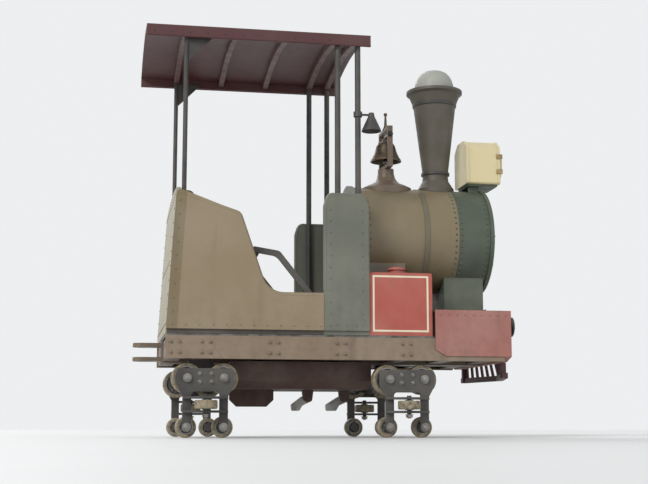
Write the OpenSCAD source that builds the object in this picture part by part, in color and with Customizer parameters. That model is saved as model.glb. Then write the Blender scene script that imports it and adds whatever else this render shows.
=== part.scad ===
// Lead car of a mine-train roller coaster, dressed as a small steam locomotive.
// Millimetres. +X is forward, +Y is to the car's left and +Z is up.
// The origin is on the floor under the middle of the car's outline.

/* [Rail] */
// Distance between the centres of the two pipe rails
gauge = 900; // [880:5:930]
// Outside diameter of a pipe rail
rail_d = 114; // [104:1:120]
// Gap between the rail and the wheels that don't carry the car
rail_gap = 3; // [2:1:5]

/* [Length] */
// Distance between the two axles
wheelbase = 1070; // [1040:10:1160]
// From the rear axle to the end of the rear coupling
rear_overhang = 365; // [350:5:400]
// From the front axle to the tip of the pilot
front_overhang = 705; // [690:5:740]
// From the rear axle to the foot of the rear panel
tub_overhang = 210; // [200:5:225]
// From the bulkhead's front face forward to the front axle
bulkhead_back = 201; // [190:1:215]
// From the front axle to the front face of the buffer beam
nose_l = 583; // [570:1:595]

/* [Wheels] */
// Diameter of a running wheel
run_d = 160; // [150:2:164]
// Width of a running wheel's tread
run_w = 65; // [55:1:68]
// Diameter of a guide wheel
guide_d = 120; // [110:2:126]
// Width of a guide wheel's tread
guide_w = 45; // [38:1:50]
// Diameter of an up-stop wheel
stop_d = 110; // [100:2:120]
// Width of an up-stop wheel's tread
stop_w = 45; // [38:1:50]
// Depth of the plastic tread on each wheel
tread_t = 16; // [12:1:20]
// Thickness of a wheel's web
wheel_web_t = 22; // [16:1:28]

/* [Wheel carriers] */
// Thickness of a carrier's plates
plate_t = 15; // [12:1:18]
// Thickness of the web between the running wheels
web_t = 14; // [10:1:16]
// Gap between a running wheel and that web
wheel_clear = 8; // [6:1:10]
// Gap between the rail's side and the outer plate
plate_gap = 8; // [6:1:12]
// Gap between a running wheel's tread and the inner plate
tread_side = 12; // [11:1:16]
// Diameter of a wheel's pin
pin_d = 30; // [24:1:34]
// Width of the leg that holds an up-stop wheel
leg_w = 45; // [40:1:48]
// Length of the boss that turns on the axle
boss_l = 45; // [38:1:50]
// Outside diameter of that boss
boss_d = 88; // [80:1:92]
// Thickness of a guide wheel's shelf
shelf_t = 12; // [9:1:14]
// Diameter of an axle's journal
journal_d = 50; // [44:1:56]
// Diameter of an axle's tube
axle_d = 80; // [70:1:90]
// Radial clearance of each pin in its bore
pin_fit = 0.05; // [0.03:0.01:0.09]

/* [Chassis] */
// From the rail's top to the underside of the chassis
sill_clear = 180; // [178:1:195]
// Height of the side sills
sill_h = 120; // [110:1:130]
// Depth of a sill's flanges
sill_w = 40; // [35:1:45]
// Thickness of a sill's web and flanges
sill_t = 8; // [6:1:10]
// Width over the sills
body_w = 1050; // [1040:2:1060]
// Width of the centre spine
spine_w = 140; // [120:2:160]
// Thickness of the floor plate
floor_t = 12; // [8:1:14]
// Width of the belly pan
pan_w = 640; // [600:5:660]
// From the rail's top to the belly pan
pan_clear = 35; // [30:1:45]
// Width of a cross member
cross_w = 80; // [60:2:90]

/* [Tub] */
// Thickness of the tub's panels
panel_t = 25; // [20:1:28]
// From the floor to the top of the low side
waist_h = 218; // [200:1:240]
// From the floor to the front corner of the wing beside the seat
wing_front_h = 643; // [620:1:660]
// From the floor to the rear corner of that wing
wing_rear_h = 768; // [750:1:790]
// Length of the wing at its top
wing_l = 338; // [320:1:350]
// Slope of the wing's front edge, as the length that it takes
wing_slope = 147; // [130:1:160]
// Height of the arch on the rear panel
back_arch = 42; // [30:1:50]
// How far the rear panel leans forward at its top
tub_lean = 45; // [35:1:55]
// Height of the seat's base
seat_base_h = 126; // [110:1:140]
// Thickness of the seat cushion
cushion_t = 92; // [80:1:100]
// Depth of the seat cushion, front to back
cushion_l = 395; // [370:5:420]
// Thickness of the backrest at its foot
back_pad_t = 150; // [135:1:160]
// Thickness of the backrest at its top
back_top_t = 72; // [60:1:80]
// Height of the backrest above the cushion
back_pad_h = 575; // [540:5:590]
// Gap at each side of the soft pieces
seat_side = 36; // [32:1:42]

/* [Cab] */
// Length of a cab sheet
sheet_l = 247; // [235:1:260]
// Thickness of a cab sheet
sheet_t = 20; // [16:1:24]
// From the floor to the top of a cab sheet
sheet_h = 763; // [740:1:785]
// Thickness of the bulkhead
bulkhead_t = 24; // [18:1:28]
// Diameter of a front post
post_d = 32; // [28:1:36]
// Diameter of a rear post
rear_post_d = 25; // [22:1:28]
// From the bulkhead's front face back to the second front post
post_back = 51; // [46:1:58]
// Distance between the two front posts of a side
post_pitch = 113; // [100:1:120]
// From the floor to the eaves
eaves_h = 1638; // [1600:5:1680]
// How far the roof's edges lie inside the body's sides
roof_inset = 5; // [0:1:6]
// Rise of the roof's arch
roof_rise = 60; // [45:1:75]
// Thickness of the roof's sheet
roof_t = 18; // [14:1:24]
// Height of the roof's fascia
fascia_h = 52; // [44:1:60]
// Overhang of the roof behind the rear posts
roof_tail = 215; // [200:5:230]
// Overhang of the roof in front of the front posts
roof_nose = 67; // [60:1:80]
// Thickness of a roof bow
bow_t = 30; // [24:1:36]
// Side of the gusset at a rear post's head
gusset_l = 150; // [130:5:165]

/* [Lap bar] */
// Diameter of the lap bar's tube
lap_d = 32; // [28:1:36]
// Diameter of the padded roll on the lap bar
lap_roll_d = 66; // [56:1:72]
// From the floor to the lap bar's pivot
lap_pivot_h = 178; // [165:1:190]
// Diameter of the lap bar's pivot pin
lap_pin_d = 24; // [20:1:28]
// Angle that the lap bar is opened to in the model's rest pose
lap_open = 0; // [0:5:55]

/* [Boiler] */
// Radius of the boiler
boiler_r = 300; // [290:1:306]
// From the floor to the boiler's middle
boiler_h = 593; // [580:1:605]
// Length of the boiler
barrel_l = 571; // [560:1:585]
// Length of the smokebox
smokebox_l = 205; // [195:1:215]
// Width of a boiler band
band_w = 28; // [20:1:36]
// Thickness of a boiler band
band_t = 5; // [3:1:7]
// Width of the firebox
firebox_w = 500; // [470:5:520]
// Length of the firebox
firebox_l = 266; // [250:2:290]
// Length of a side tank
tank_l = 350; // [330:5:352]
// Width of a side tank
tank_w = 190; // [170:2:200]
// Height of a side tank
tank_h = 346; // [330:2:360]

/* [Boiler fittings] */
// From the bulkhead to the stack's middle
stack_x = 516; // [500:1:530]
// Radius of the stack at its foot
stack_r = 74; // [68:1:80]
// Radius of the stack's brim
brim_r = 166; // [155:1:175]
// From the boiler's middle to the brim
brim_h = 900; // [880:5:920]
// Height of the spark arrestor on the brim
arrestor_h = 132; // [120:1:145]
// Radius of the spark arrestor's top
arrestor_r = 72; // [66:1:78]
// From the bulkhead to the bell's middle
bell_x = 216; // [205:1:230]
// Radius of the bell's mouth
bell_r = 92; // [84:1:94]
// Height of the bell
bell_h = 128; // [115:1:132]
// From the boiler's middle to the bell's pivot
bell_pivot_h = 612; // [604:1:625]
// Width of the headlamp's box
lamp_w = 240; // [220:2:260]
// Height of the headlamp's box
lamp_h = 262; // [244:2:280]
// Length of the headlamp's box
lamp_l = 206; // [190:2:212]
// Radius of the headlamp's lens
lens_r = 92; // [80:1:98]
// Width of the lantern's shade
shade_d = 108; // [96:2:116]
// From the floor to the lantern's ring
lantern_h = 1215; // [1100:5:1300]

/* [Front end] */
// From the floor to the front deck
deck_h = 130; // [120:1:140]
// Thickness of the footplate
footplate_t = 12; // [10:1:16]
// Thickness of the valances
valance_t = 8; // [6:1:10]
// Thickness of the buffer beam
beam_t = 38; // [32:1:44]
// Distance between the two buffers
buffer_pitch = 600; // [560:10:640]
// Diameter of a buffer's head
buffer_d = 110; // [100:2:120]
// Length of a buffer
buffer_l = 92; // [84:1:98]
// Height of the pilot's lower rail above the rail
pilot_clear = 95; // [85:1:105]
// Width of the pilot's lower rail
pilot_w = 800; // [760:10:820]
// Distance between the pilot's slats
slat_pitch = 58; // [50:1:66]
// Diameter of a slat
slat_d = 18; // [14:1:22]

/* [Rear coupling] */
// Radius of the coupling pin's bore
coupling_r = 20; // [16:1:24]
// Thickness of each ear
ear_t = 22; // [18:1:26]
// Gap between the ears
ear_gap = 56; // [50:1:60]
// Width of an ear
ear_w = 100; // [90:2:110]

/* [Hidden] */
$fn = 64;

TAUPE = [0.43, 0.37, 0.29];
FRAME = [0.27, 0.21, 0.16];
SOOT = [0.10, 0.10, 0.10];
STEEL = [0.33, 0.34, 0.32];
TREAD = [0.30, 0.27, 0.22];
ROOF = [0.18, 0.10, 0.09];
SHEET = [0.25, 0.28, 0.24];
BOILER = [0.33, 0.29, 0.20];
SMOKE = [0.14, 0.19, 0.15];
RED = [0.62, 0.16, 0.12];
APRON = [0.50, 0.24, 0.20];
BRASS = [0.84, 0.76, 0.48];
VINYL = [0.22, 0.15, 0.12];
GLASS = [0.93, 0.92, 0.84];

overall_l = rear_overhang + wheelbase + front_overhang;
tip_x = overall_l / 2;
rear_x = rear_overhang - tip_x;
front_x = tip_x - front_overhang;

// Heights of the rail's top, the chassis and the floor
rail_z = stop_d + rail_gap + rail_d;
sill_z = rail_z + sill_clear;
floor_z = sill_z + sill_h;
tub_z = floor_z + floor_t;
half_w = body_w / 2;

// A carrier's own places: y outward from the rail's middle, z up from the rail's top
pivot_z = run_d / 2;
pin_x = (run_d + web_t) / 2 + wheel_clear;
outer_y = rail_d / 2 + plate_gap;
inner_y = -run_w / 2 - tread_side - plate_t;
guide_y = rail_d / 2 + rail_gap + guide_d / 2;
guide_z = -rail_d / 2;
stop_z = -rail_d - rail_gap - stop_d / 2;
leg_end = 28;
boss_y = inner_y - boss_l;
cap_d = journal_d + 14;
cap_t = 5;
side_gap = 3;
head_t = 8;
head_d = pin_d + 16;
guide_pin_d = 24;
shelf_gap = 7;
axle_end = gauge / 2 + boss_y - 2;

// Stations along the car
tail_x = rear_x - tub_overhang;
bulkhead_x = front_x - bulkhead_back;
sheet_x = bulkhead_x - sheet_l;
beam_x = front_x + nose_l;
deck_x = bulkhead_x + 356;
smokebox_x = bulkhead_x + barrel_l;
smoke_front_x = smokebox_x + smokebox_l;
rear_post_x = tail_x + 85;
post_b_x = bulkhead_x - post_back;
post_a_x = post_b_x - post_pitch;
post_y = half_w - panel_t - 2 - post_d / 2;
rear_post_y = half_w - panel_t - 2 - rear_post_d / 2;
cushion_x = tail_x + 148;
pan_x0 = rear_x + 150;
pan_x1 = front_x - 150;
kingpin_d = 50;
kingpin_top = floor_z - 10;

// Roof: the arch's circle through both eaves and the crown
roof_w = body_w - 2 * roof_inset;
bow_half = rear_post_y + rear_post_d / 2;
eaves_z = tub_z + eaves_h;
roof_r = (roof_w * roof_w / 4 + roof_rise * roof_rise) / (2 * roof_rise);
roof_mid_z = eaves_z + roof_rise - roof_r;
roof_x0 = rear_post_x - roof_tail;
roof_x1 = post_b_x + roof_nose;

// Boiler
stack_foot_r = stack_r + 34;
bell_foot_r = bell_r + 56;
boiler_z = tub_z + boiler_h;
deck_z = tub_z + deck_h;

// Lap bar: from the pivot up to the knee and back to the bar over the laps
lap_x = sheet_x - 27;
lap_z = tub_z + lap_pivot_h;
lap_knee = [-210, 260];
lap_bar = [-350, 282];
lap_y = half_w - panel_t - 59;
lap_hub_d = lap_pin_d + 30;
lap_hub_l = 46;
lap_arm_t = 14;
lap_roll_w = 700;
lap_eye = lap_bar + [lap_d / 2 + 4, -2];

SIDES = [["l", 1], ["r", -1]];
AXLES = [["f", front_x], ["r", rear_x]];

// Every wheel carrier: name, side, axle's place
CARRIERS = [for (a = AXLES) for (s = SIDES) [str(a[0], s[0]), s[1], a[1]]];

// The wheels of one carrier: name, kind, place along the rail
WHEELS = [["running_wheel", "run", 1], ["running_wheel", "run", -1], ["guide_wheel", "guide", 0],
          ["upstop_wheel", "stop", 1], ["upstop_wheel", "stop", -1]];

function wheel_name(c, w) = str(w[0], "_", c[0], w[2] == 0 ? "" : (w[2] > 0 ? "_lead" : "_trail"));

ROOT_NODES = ["chassis_frame", "centre_spine", "rear_axle", "belly_pan", "floor_plate",
              "side_panel_left", "side_panel_right", "seat_shell", "seat_cushion", "seat_back",
              "cab_sheets", "front_bulkhead", "roof_sheet", "roof_bows", "roof_posts",
              "boiler", "smokebox", "smoke_stack", "bell_stand", "headlamp", "headlamp_lens",
              "side_tanks", "front_deck", "front_apron", "buffers", "pilot", "post_lantern",
              "lantern_bulb"];
MOVING_NODES = ["front_axle", "lap_bar", "lap_pad", "bell", "chain_dog", "rollback_dog"];

// A polygon's corners rounded: each point is [x, y, radius]
function unit(v) = v / norm(v);
function flat(p) = [p[0], p[1]];
function flat_r(p, r) = [p[0], p[1], r];
function normal(p, q) = unit([p[1] - q[1], q[0] - p[0]]);
function corner(a, b, c, r, n) =
    r == 0 ? [b] :
    let (u = unit(a - b), w = unit(c - b), half = acos(max(-1, min(1, u * w))) / 2,
         o = b + unit(u + w) * r / sin(half),
         s = b + u * r / tan(half) - o, e = b + w * r / tan(half) - o,
         from = atan2(s[1], s[0]), turn = (atan2(e[1], e[0]) - from + 540) % 360 - 180)
    [for (k = [0 : n]) o + r * [cos(from + turn * k / n), sin(from + turn * k / n)]];
function rounded(p, n = 5) =
    let (m = len(p))
    [for (i = [0 : m - 1])
        each corner(flat(p[(i + m - 1) % m]), flat(p[i]), flat(p[(i + 1) % m]), p[i][2], n)];

// A rod along Y from y0 to y1
module rod_y(x, z, y0, y1, d) {
    translate([x, y1, z]) rotate([90, 0, 0]) cylinder(d = d, h = y1 - y0);
}

// A rod along X from x0 to x1
module rod_x(x0, x1, y, z, d) {
    translate([x0, y, z]) rotate([0, 90, 0]) cylinder(d = d, h = x1 - x0);
}

// An outline in X and Z, from y0 to y0 + t
module plate_xz(points, y0, t) {
    translate([0, y0 + t, 0]) rotate([90, 0, 0]) linear_extrude(t) polygon(points);
}

// An outline in Y and Z, from x0 to x0 + t
module plate_yz(points, x0, t) {
    translate([x0, 0, 0]) rotate([90, 0, 90]) linear_extrude(t) polygon(points);
}

// A round bar between two points
module strut(p, q, d) {
    v = q - p;
    translate(p) rotate([0, acos(v[2] / norm(v)), atan2(v[1], v[0])]) cylinder(d = d, h = norm(v));
}

module on_side(side) {
    if (side > 0) children(); else mirror([0, 1, 0]) children();
}

module both_sides() {
    children();
    mirror([0, 1, 0]) children();
}

// A carrier's frame of reference: the rail's middle at its top, y outward
module at_rail(side, x) {
    on_side(side) translate([x, gauge / 2, rail_z]) children();
}

// Chassis
module sill_section() {
    polygon([[half_w, sill_z], [half_w, floor_z], [half_w - sill_w, floor_z],
             [half_w - sill_w, floor_z - sill_t], [half_w - sill_t, floor_z - sill_t],
             [half_w - sill_t, sill_z + sill_t], [half_w - sill_w, sill_z + sill_t],
             [half_w - sill_w, sill_z]]);
}

// The places of the cross members' middles
CROSS_X = [tail_x + cross_w / 2 + 10, rear_x, rear_x + wheelbase / 3, rear_x + wheelbase * 2 / 3,
           front_x, front_x + 270, beam_x - beam_t - cross_w / 2];

// One welded frame of two channel sills and box cross members, cut for the centre spine
module chassis_frame() {
    span = half_w - sill_t / 2 - spine_w / 2;
    color(FRAME) both_sides() {
        along_x(tail_x, beam_x - beam_t) sill_section();
        for (x = CROSS_X) translate([x - cross_w / 2, spine_w / 2, sill_z + sill_t])
            cube([cross_w, span, sill_h - 2 * sill_t]);
    }
}

module centre_spine() {
    ear_z = sill_z + sill_h / 2;
    end_x = -tip_x;
    eye_x = end_x + ear_w / 2;
    color(FRAME) difference() {
        union() {
            translate([tail_x, -spine_w / 2, sill_z])
                cube([beam_x - beam_t - tail_x, spine_w, sill_h]);
            for (z = [ear_z - ear_gap / 2 - ear_t, ear_z + ear_gap / 2]) translate([0, 0, z]) {
                translate([eye_x, 0, 0]) cylinder(d = ear_w, h = ear_t);
                translate([eye_x, -ear_w / 2, 0]) cube([tail_x + 20 - eye_x, ear_w, ear_t]);
            }
        }
        translate([eye_x, 0, sill_z - 10]) cylinder(r = coupling_r, h = sill_h + 20);
        translate([front_x, 0, sill_z - 10]) cylinder(d = kingpin_d + 2 * pin_fit, h = sill_h + 20);
    }
}

module axle_tube(x) {
    rod_y(x, rail_z + pivot_z, -axle_end, axle_end, axle_d);
    both_sides() {
        rod_y(x, rail_z + pivot_z, axle_end, gauge / 2 + inner_y + plate_t + 0.5, journal_d);
        rod_y(x, rail_z + pivot_z, gauge / 2 + inner_y + plate_t + 0.5,
              gauge / 2 + inner_y + plate_t + 0.5 + cap_t, cap_d);
    }
}

module rear_axle() {
    seat_z = sill_clear + sill_t;
    saddle_y = 190;
    saddle_t = 24;
    saddle = [[-58, pivot_z - 30, 12], [58, pivot_z - 30, 12], [70, seat_z, 0], [-70, seat_z, 0]];
    color(SOOT) {
        axle_tube(rear_x);
        both_sides() {
            translate([rear_x, 0, rail_z]) plate_xz(rounded(saddle), saddle_y, saddle_t);
            rod_y(rear_x, rail_z + pivot_z, saddle_y - 8, saddle_y + saddle_t + 8, axle_d + 18);
        }
    }
}

module front_axle() {
    block_z = rail_z + pivot_z;
    thrust = sill_z - 3;
    color(SOOT) {
        axle_tube(front_x);
        translate([front_x - 60, -72, block_z - 54]) cube([120, 144, 108]);
        translate([front_x, 0, block_z + 50]) cylinder(d = 118, h = thrust - block_z - 50);
        translate([front_x, 0, thrust - 5]) cylinder(d = kingpin_d, h = kingpin_top - thrust + 5);
    }
}

// The pivots of the two dogs under the car
dog_z = rail_z - 6;
chain_dog_x = pan_x1 - 300;
rollback_dog_x = pan_x1 - 90;
dog_pin_d = 20;
dog_t = 24;
cheek_gap = 5;
cheek_t = 10;
pan_t = 5;
fin_l = 250;
fin_drop = 58;

module belly_pan() {
    pan_z = rail_z + pan_clear;
    half = pan_w / 2;
    outer = [[-half, sill_z], [-half, pan_z + 40], [60 - half, pan_z]];
    inner = [[60 - half + 2, pan_z + pan_t], [pan_t - half, pan_z + 42], [pan_t - half, sill_z]];
    left = concat(outer, [for (i = [2 : -1 : 0]) [-outer[i][0], outer[i][1]]]);
    cheek = [[-30, pan_clear + 1, 0], [-22, -30, 16], [22, -30, 16], [30, pan_clear + 1, 0]];
    fin = [[0, pan_clear + 1, 0], [0, -20, 0], [40, -fin_drop, 8], [fin_l - 40, -fin_drop, 8],
           [fin_l, -20, 0], [fin_l, pan_clear + 1, 0]];
    color(SOOT) {
        // a folded trough, its two ends and the flange under the spine
        plate_yz(concat(left, [for (i = [2 : -1 : 0]) [-inner[i][0], inner[i][1]]], inner),
                 pan_x0, pan_x1 - pan_x0);
        for (x = [pan_x0, pan_x1 - pan_t]) plate_yz(left, x, pan_t);
        translate([pan_x0 + 25, 0, rail_z]) plate_xz(rounded(fin), -6, 12);
        for (x = [chain_dog_x, rollback_dog_x]) translate([x, 0, 0]) {
            both_sides() translate([0, 0, rail_z])
                plate_xz(rounded(cheek), dog_t / 2 + cheek_gap, cheek_t);
            rod_y(0, dog_z, -dog_t / 2 - cheek_gap - cheek_t - 4, dog_t / 2 + cheek_gap + cheek_t + 4,
                  dog_pin_d);
        }
    }
}

// A hooked plate that hangs from its pin and swings up at the back
module dog(x, tail) {
    outline = [[20, 12, 14], [18, -22, 12], [-30, -44, 10], [-48, -74, 6], [tail, -74, 8],
               [tail - 4, -40, 12], [-40, 2, 20], [-6, 20, 14]];
    color(STEEL) difference() {
        translate([x, 0, dog_z]) plate_xz(rounded(outline), -dog_t / 2, dog_t);
        rod_y(x, dog_z, -dog_t, dog_t, dog_pin_d + 2 * pin_fit);
    }
}

module chain_dog() {
    dog(chain_dog_x, -92);
}

module rollback_dog() {
    dog(rollback_dog_x, -104);
}

module floor_plate() {
    inset = 18;
    color(STEEL) translate([tail_x + 4, -half_w + inset, floor_z])
        cube([beam_x - beam_t - tail_x - 4, body_w - 2 * inset, floor_t]);
}

// Wheels and their carriers
module guide_shelf() {
    reach = guide_y + 30;
    half = pin_x + leg_w / 2;
    y0 = outer_y + plate_t - 1;
    linear_extrude(shelf_t) polygon(rounded([[-half, y0, 0], [half, y0, 0], [half, y0 + 18, 8],
                                             [34, reach, 24], [-34, reach, 24], [-half, y0 + 18, 8]]));
}

module carrier(side, x) {
    top = pivot_z + 50;
    end = pin_x + 55;
    out = pin_x + leg_w / 2;
    in = pin_x - leg_w / 2;
    foot = stop_z - leg_end;
    right = [[end, top, 20], [end, 45, 25], [out, -15, 20], [out, foot, 20], [in, foot, 20],
             [in, 10, 18]];
    outline = concat(right, [for (i = [len(right) - 1 : -1 : 0]) [-right[i][0], right[i][1], right[i][2]]]);
    inner = [[end - 14, pivot_z + 38, 34], [end - 14, pivot_z - 38, 34], [60, pivot_z - 38, 0],
             [30, pivot_z - 50, 20], [-30, pivot_z - 50, 20], [-60, pivot_z - 38, 0],
             [14 - end, pivot_z - 38, 34], [14 - end, pivot_z + 38, 34], [-60, pivot_z + 38, 0],
             [-30, pivot_z + 50, 20], [30, pivot_z + 50, 20], [60, pivot_z + 38, 0]];
    face_y = outer_y + plate_t;
    web_top = pivot_z + 44;
    web_low = 22;
    color(SOOT) at_rail(side, x) difference() {
        union() {
            plate_xz(rounded(outline), outer_y, plate_t);
            plate_xz(rounded(inner), inner_y, plate_t);
            translate([-web_t / 2, inner_y + 2, web_low]) cube([web_t, outer_y - inner_y, web_top - web_low]);
            rod_y(0, pivot_z, boss_y, inner_y + 2, boss_d);
            for (s = [-1, 1]) {
                rod_y(s * pin_x, pivot_z, inner_y - head_t, face_y + head_t, pin_d);
                rod_y(s * pin_x, pivot_z, face_y - 1, face_y + head_t, head_d);
                rod_y(s * pin_x, pivot_z, inner_y - head_t, inner_y + 1, head_d);
                rod_y(s * pin_x, stop_z, -stop_w / 2 - side_gap - head_t, face_y + head_t, pin_d);
                rod_y(s * pin_x, stop_z, face_y - 1, face_y + head_t, head_d);
                rod_y(s * pin_x, stop_z, stop_w / 2 + side_gap, outer_y + 1, head_d);
                rod_y(s * pin_x, stop_z, -stop_w / 2 - side_gap - head_t, -stop_w / 2 - side_gap, head_d);
            }
            translate([0, 0, guide_z + guide_w / 2 + shelf_gap]) guide_shelf();
            translate([0, 0, guide_z - guide_w / 2 - shelf_gap - shelf_t]) guide_shelf();
            translate([0, guide_y, guide_z - guide_w / 2 - shelf_gap - shelf_t - head_t])
                cylinder(d = guide_pin_d, h = guide_w + 2 * (shelf_gap + shelf_t + head_t));
        }
        rod_y(0, pivot_z, boss_y - 1, inner_y + plate_t + 1, journal_d + 2 * pin_fit);
        rod_y(0, pivot_z, inner_y + plate_t, inner_y + plate_t + cap_t + 3, cap_d + 6);
    }
}

// Half section of a wheel: r from its axis, a along it
module wheel_section(d, w, bore, hub_r, hub_a, hub_b) {
    r = d / 2;
    rim = r - tread_t - 10;
    bead = 4;
    rotate_extrude($fn = 96) polygon([
        [bore, hub_a], [hub_r, hub_a], [hub_r, -wheel_web_t / 2], [rim, -wheel_web_t / 2],
        [rim, -w / 2 + bead], [rim + 8, -w / 2 + bead], [rim + 8, -w / 2], [r - bead, -w / 2],
        [r, -w / 2 + bead], [r, w / 2 - bead], [r - bead, w / 2], [rim + 8, w / 2],
        [rim + 8, w / 2 - bead], [rim, w / 2 - bead], [rim, wheel_web_t / 2],
        [hub_r, wheel_web_t / 2], [hub_r, hub_b], [bore, hub_b]]);
}

module wheel(c, w) {
    color(TREAD) at_rail(c[1], c[2]) {
        if (w[1] == "run")
            translate([w[2] * pin_x, 0, pivot_z]) rotate([-90, 0, 0])
                wheel_section(run_d, run_w, pin_d / 2 + pin_fit, pin_d / 2 + 12,
                              inner_y + plate_t + side_gap, outer_y - side_gap);
        if (w[1] == "guide")
            translate([0, guide_y, guide_z])
                wheel_section(guide_d, guide_w, guide_pin_d / 2 + pin_fit, guide_pin_d / 2 + 10,
                              -guide_w / 2 - shelf_gap + side_gap, guide_w / 2 + shelf_gap - side_gap);
        if (w[1] == "stop")
            translate([w[2] * pin_x, 0, stop_z]) rotate([-90, 0, 0])
                wheel_section(stop_d, stop_w, pin_d / 2 + pin_fit, pin_d / 2 + 8,
                              -stop_w / 2, stop_w / 2);
    }
}

// Tub
function tail_at(h) = tail_x + tub_lean * h / wing_rear_h;

module side_panel(side) {
    front = tail_at(wing_rear_h) + wing_l;
    foot_h = 22;
    outline = [[tail_at(foot_h), foot_h, 0], [sheet_x, foot_h, 0], [sheet_x, waist_h, 0],
               [front + wing_slope, waist_h, 120], [front, wing_front_h, 45],
               [tail_at(wing_rear_h), wing_rear_h, 30]];
    foot = [[tail_at(0) + 6, 0], [sheet_x, 0], [sheet_x, foot_h + 1], [tail_at(foot_h) + 6, foot_h + 1]];
    pin_y = lap_y - lap_hub_l / 2;
    color(TAUPE) on_side(side) translate([0, 0, tub_z]) {
        plate_xz(rounded(outline, 8), half_w - panel_t, panel_t);
        plate_xz(foot, half_w - panel_t, panel_t - 14);
        rod_y(lap_x, lap_pivot_h, half_w - panel_t - 8, half_w - panel_t + 1, lap_hub_d + 26);
        rod_y(lap_x, lap_pivot_h, pin_y, half_w - panel_t + 1, lap_pin_d);
    }
}

module seat_shell() {
    half = half_w - panel_t - 0.3;
    n = 12;
    arch = [for (k = [0 : n]) let (y = half * (1 - 2 * k / n))
        [y, wing_rear_h + back_arch * (1 - pow(y / half, 2))]];
    tilt = atan(tub_lean / wing_rear_h);
    base_half = rear_post_y - rear_post_d / 2 - 4;
    front = cushion_x + cushion_l - 12;
    top = tub_z + seat_base_h;
    board_t = 18;
    color(TAUPE) {
        // rear panel, leaning forward
        translate([tail_x, 0, tub_z]) multmatrix([[1, 0, tan(tilt), 0], [0, 1, 0, 0], [0, 0, 1, 0]])
            plate_yz(concat([[-half, 0], [half, 0]], arch), 0, panel_t);
        // seat base: a top and a sloping front
        plate_xz([[front - 40, tub_z], [front, top], [tail_x + panel_t - 2, top],
                  [tail_x + panel_t - 2, top - board_t], [front - board_t - 6, top - board_t],
                  [front - board_t - 40, tub_z]], -base_half, 2 * base_half);
    }
}

module seat_cushion() {
    half = half_w - panel_t - seat_side;
    z = tub_z + seat_base_h + 0.3;
    outline = [[cushion_x, z, 20], [cushion_x + cushion_l, z, 20],
               [cushion_x + cushion_l, z + cushion_t, 35], [cushion_x, z + cushion_t - 12, 20]];
    color(VINYL) plate_xz(rounded(outline), -half, 2 * half);
}

module seat_back() {
    half = half_w - panel_t - seat_side;
    h0 = seat_base_h + 0.3;
    h1 = seat_base_h + cushion_t + back_pad_h;
    gap = 0.6;
    a0 = tail_at(h0) + panel_t + gap;
    a1 = tail_at(h1) + panel_t + gap;
    h2 = seat_base_h + cushion_t;
    outline = [[a0, tub_z + h0, 0], [cushion_x - 1, tub_z + h0, 0], [cushion_x - 1, tub_z + h2, 0],
               [tail_at(h2) + panel_t + back_pad_t, tub_z + h2 + 12, 20],
               [a1 + back_top_t, tub_z + h1, 35], [a1, tub_z + h1, 8]];
    color(VINYL) plate_xz(rounded(outline), -half, 2 * half);
}

// Cab
module cab_sheets() {
    foot_h = 22;
    outline = [[sheet_x + 0.3, foot_h, 0], [bulkhead_x, foot_h, 0], [bulkhead_x, sheet_h - 60, 30],
               [bulkhead_x - 30, sheet_h, 30], [sheet_x + 22, sheet_h, 40],
               [sheet_x + 0.3, sheet_h - 70, 30]];
    foot = [[sheet_x + 0.3, 0], [bulkhead_x, 0], [bulkhead_x, foot_h + 1], [sheet_x + 0.3, foot_h + 1]];
    color(SHEET) both_sides() translate([0, 0, tub_z]) {
        plate_xz(rounded(outline), half_w - sheet_t - 2, sheet_t);
        plate_xz(foot, half_w - sheet_t - 2, sheet_t - 12);
    }
}

module front_bulkhead() {
    half = half_w - sheet_t - 2.3;
    outline = [[-half, tub_z, 0], [half, tub_z, 0], [half, tub_z + sheet_h - 30, 40],
               [boiler_r * 0.86, boiler_z + boiler_r * 0.72, 120], [0, boiler_z + boiler_r + 40, 240],
               [-boiler_r * 0.86, boiler_z + boiler_r * 0.72, 120], [-half, tub_z + sheet_h - 30, 40]];
    color(SHEET) plate_yz(rounded(outline, 8), bulkhead_x - bulkhead_t, bulkhead_t);
}

// The roof's section between two radii, as far as the eaves
module arch_band(r0, r1, half) {
    intersection() {
        difference() {
            translate([0, roof_mid_z]) circle(r = r1, $fn = 256);
            translate([0, roof_mid_z]) circle(r = r0, $fn = 256);
        }
        translate([-half, eaves_z - 60]) square([2 * half, roof_rise + roof_t + 120]);
    }
}

module along_x(x0, x1) {
    translate([x0, 0, 0]) rotate([90, 0, 90]) linear_extrude(x1 - x0) children();
}

module roof_sheet() {
    half = roof_w / 2;
    edge = 20;
    color(ROOF) {
        along_x(roof_x0, roof_x1) arch_band(roof_r, roof_r + roof_t, half);
        both_sides() translate([roof_x0, half - edge, eaves_z - fascia_h + 10])
            cube([roof_x1 - roof_x0, edge, fascia_h]);
    }
}

// The roof bows: over the posts, and one in each long bay
BOW_X = [rear_post_x, rear_post_x + (post_a_x - rear_post_x) / 3,
         rear_post_x + (post_a_x - rear_post_x) * 2 / 3, post_a_x, post_b_x];

module roof_bows() {
    color(ROOF) for (x = BOW_X)
        along_x(x - bow_t / 2, x + bow_t / 2) arch_band(roof_r - bow_t, roof_r - 0.3, bow_half);
}

// The underside of a bow at a given distance from the middle
function bow_z(y) = roof_mid_z + sqrt(pow(roof_r - bow_t, 2) - y * y);

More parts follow.
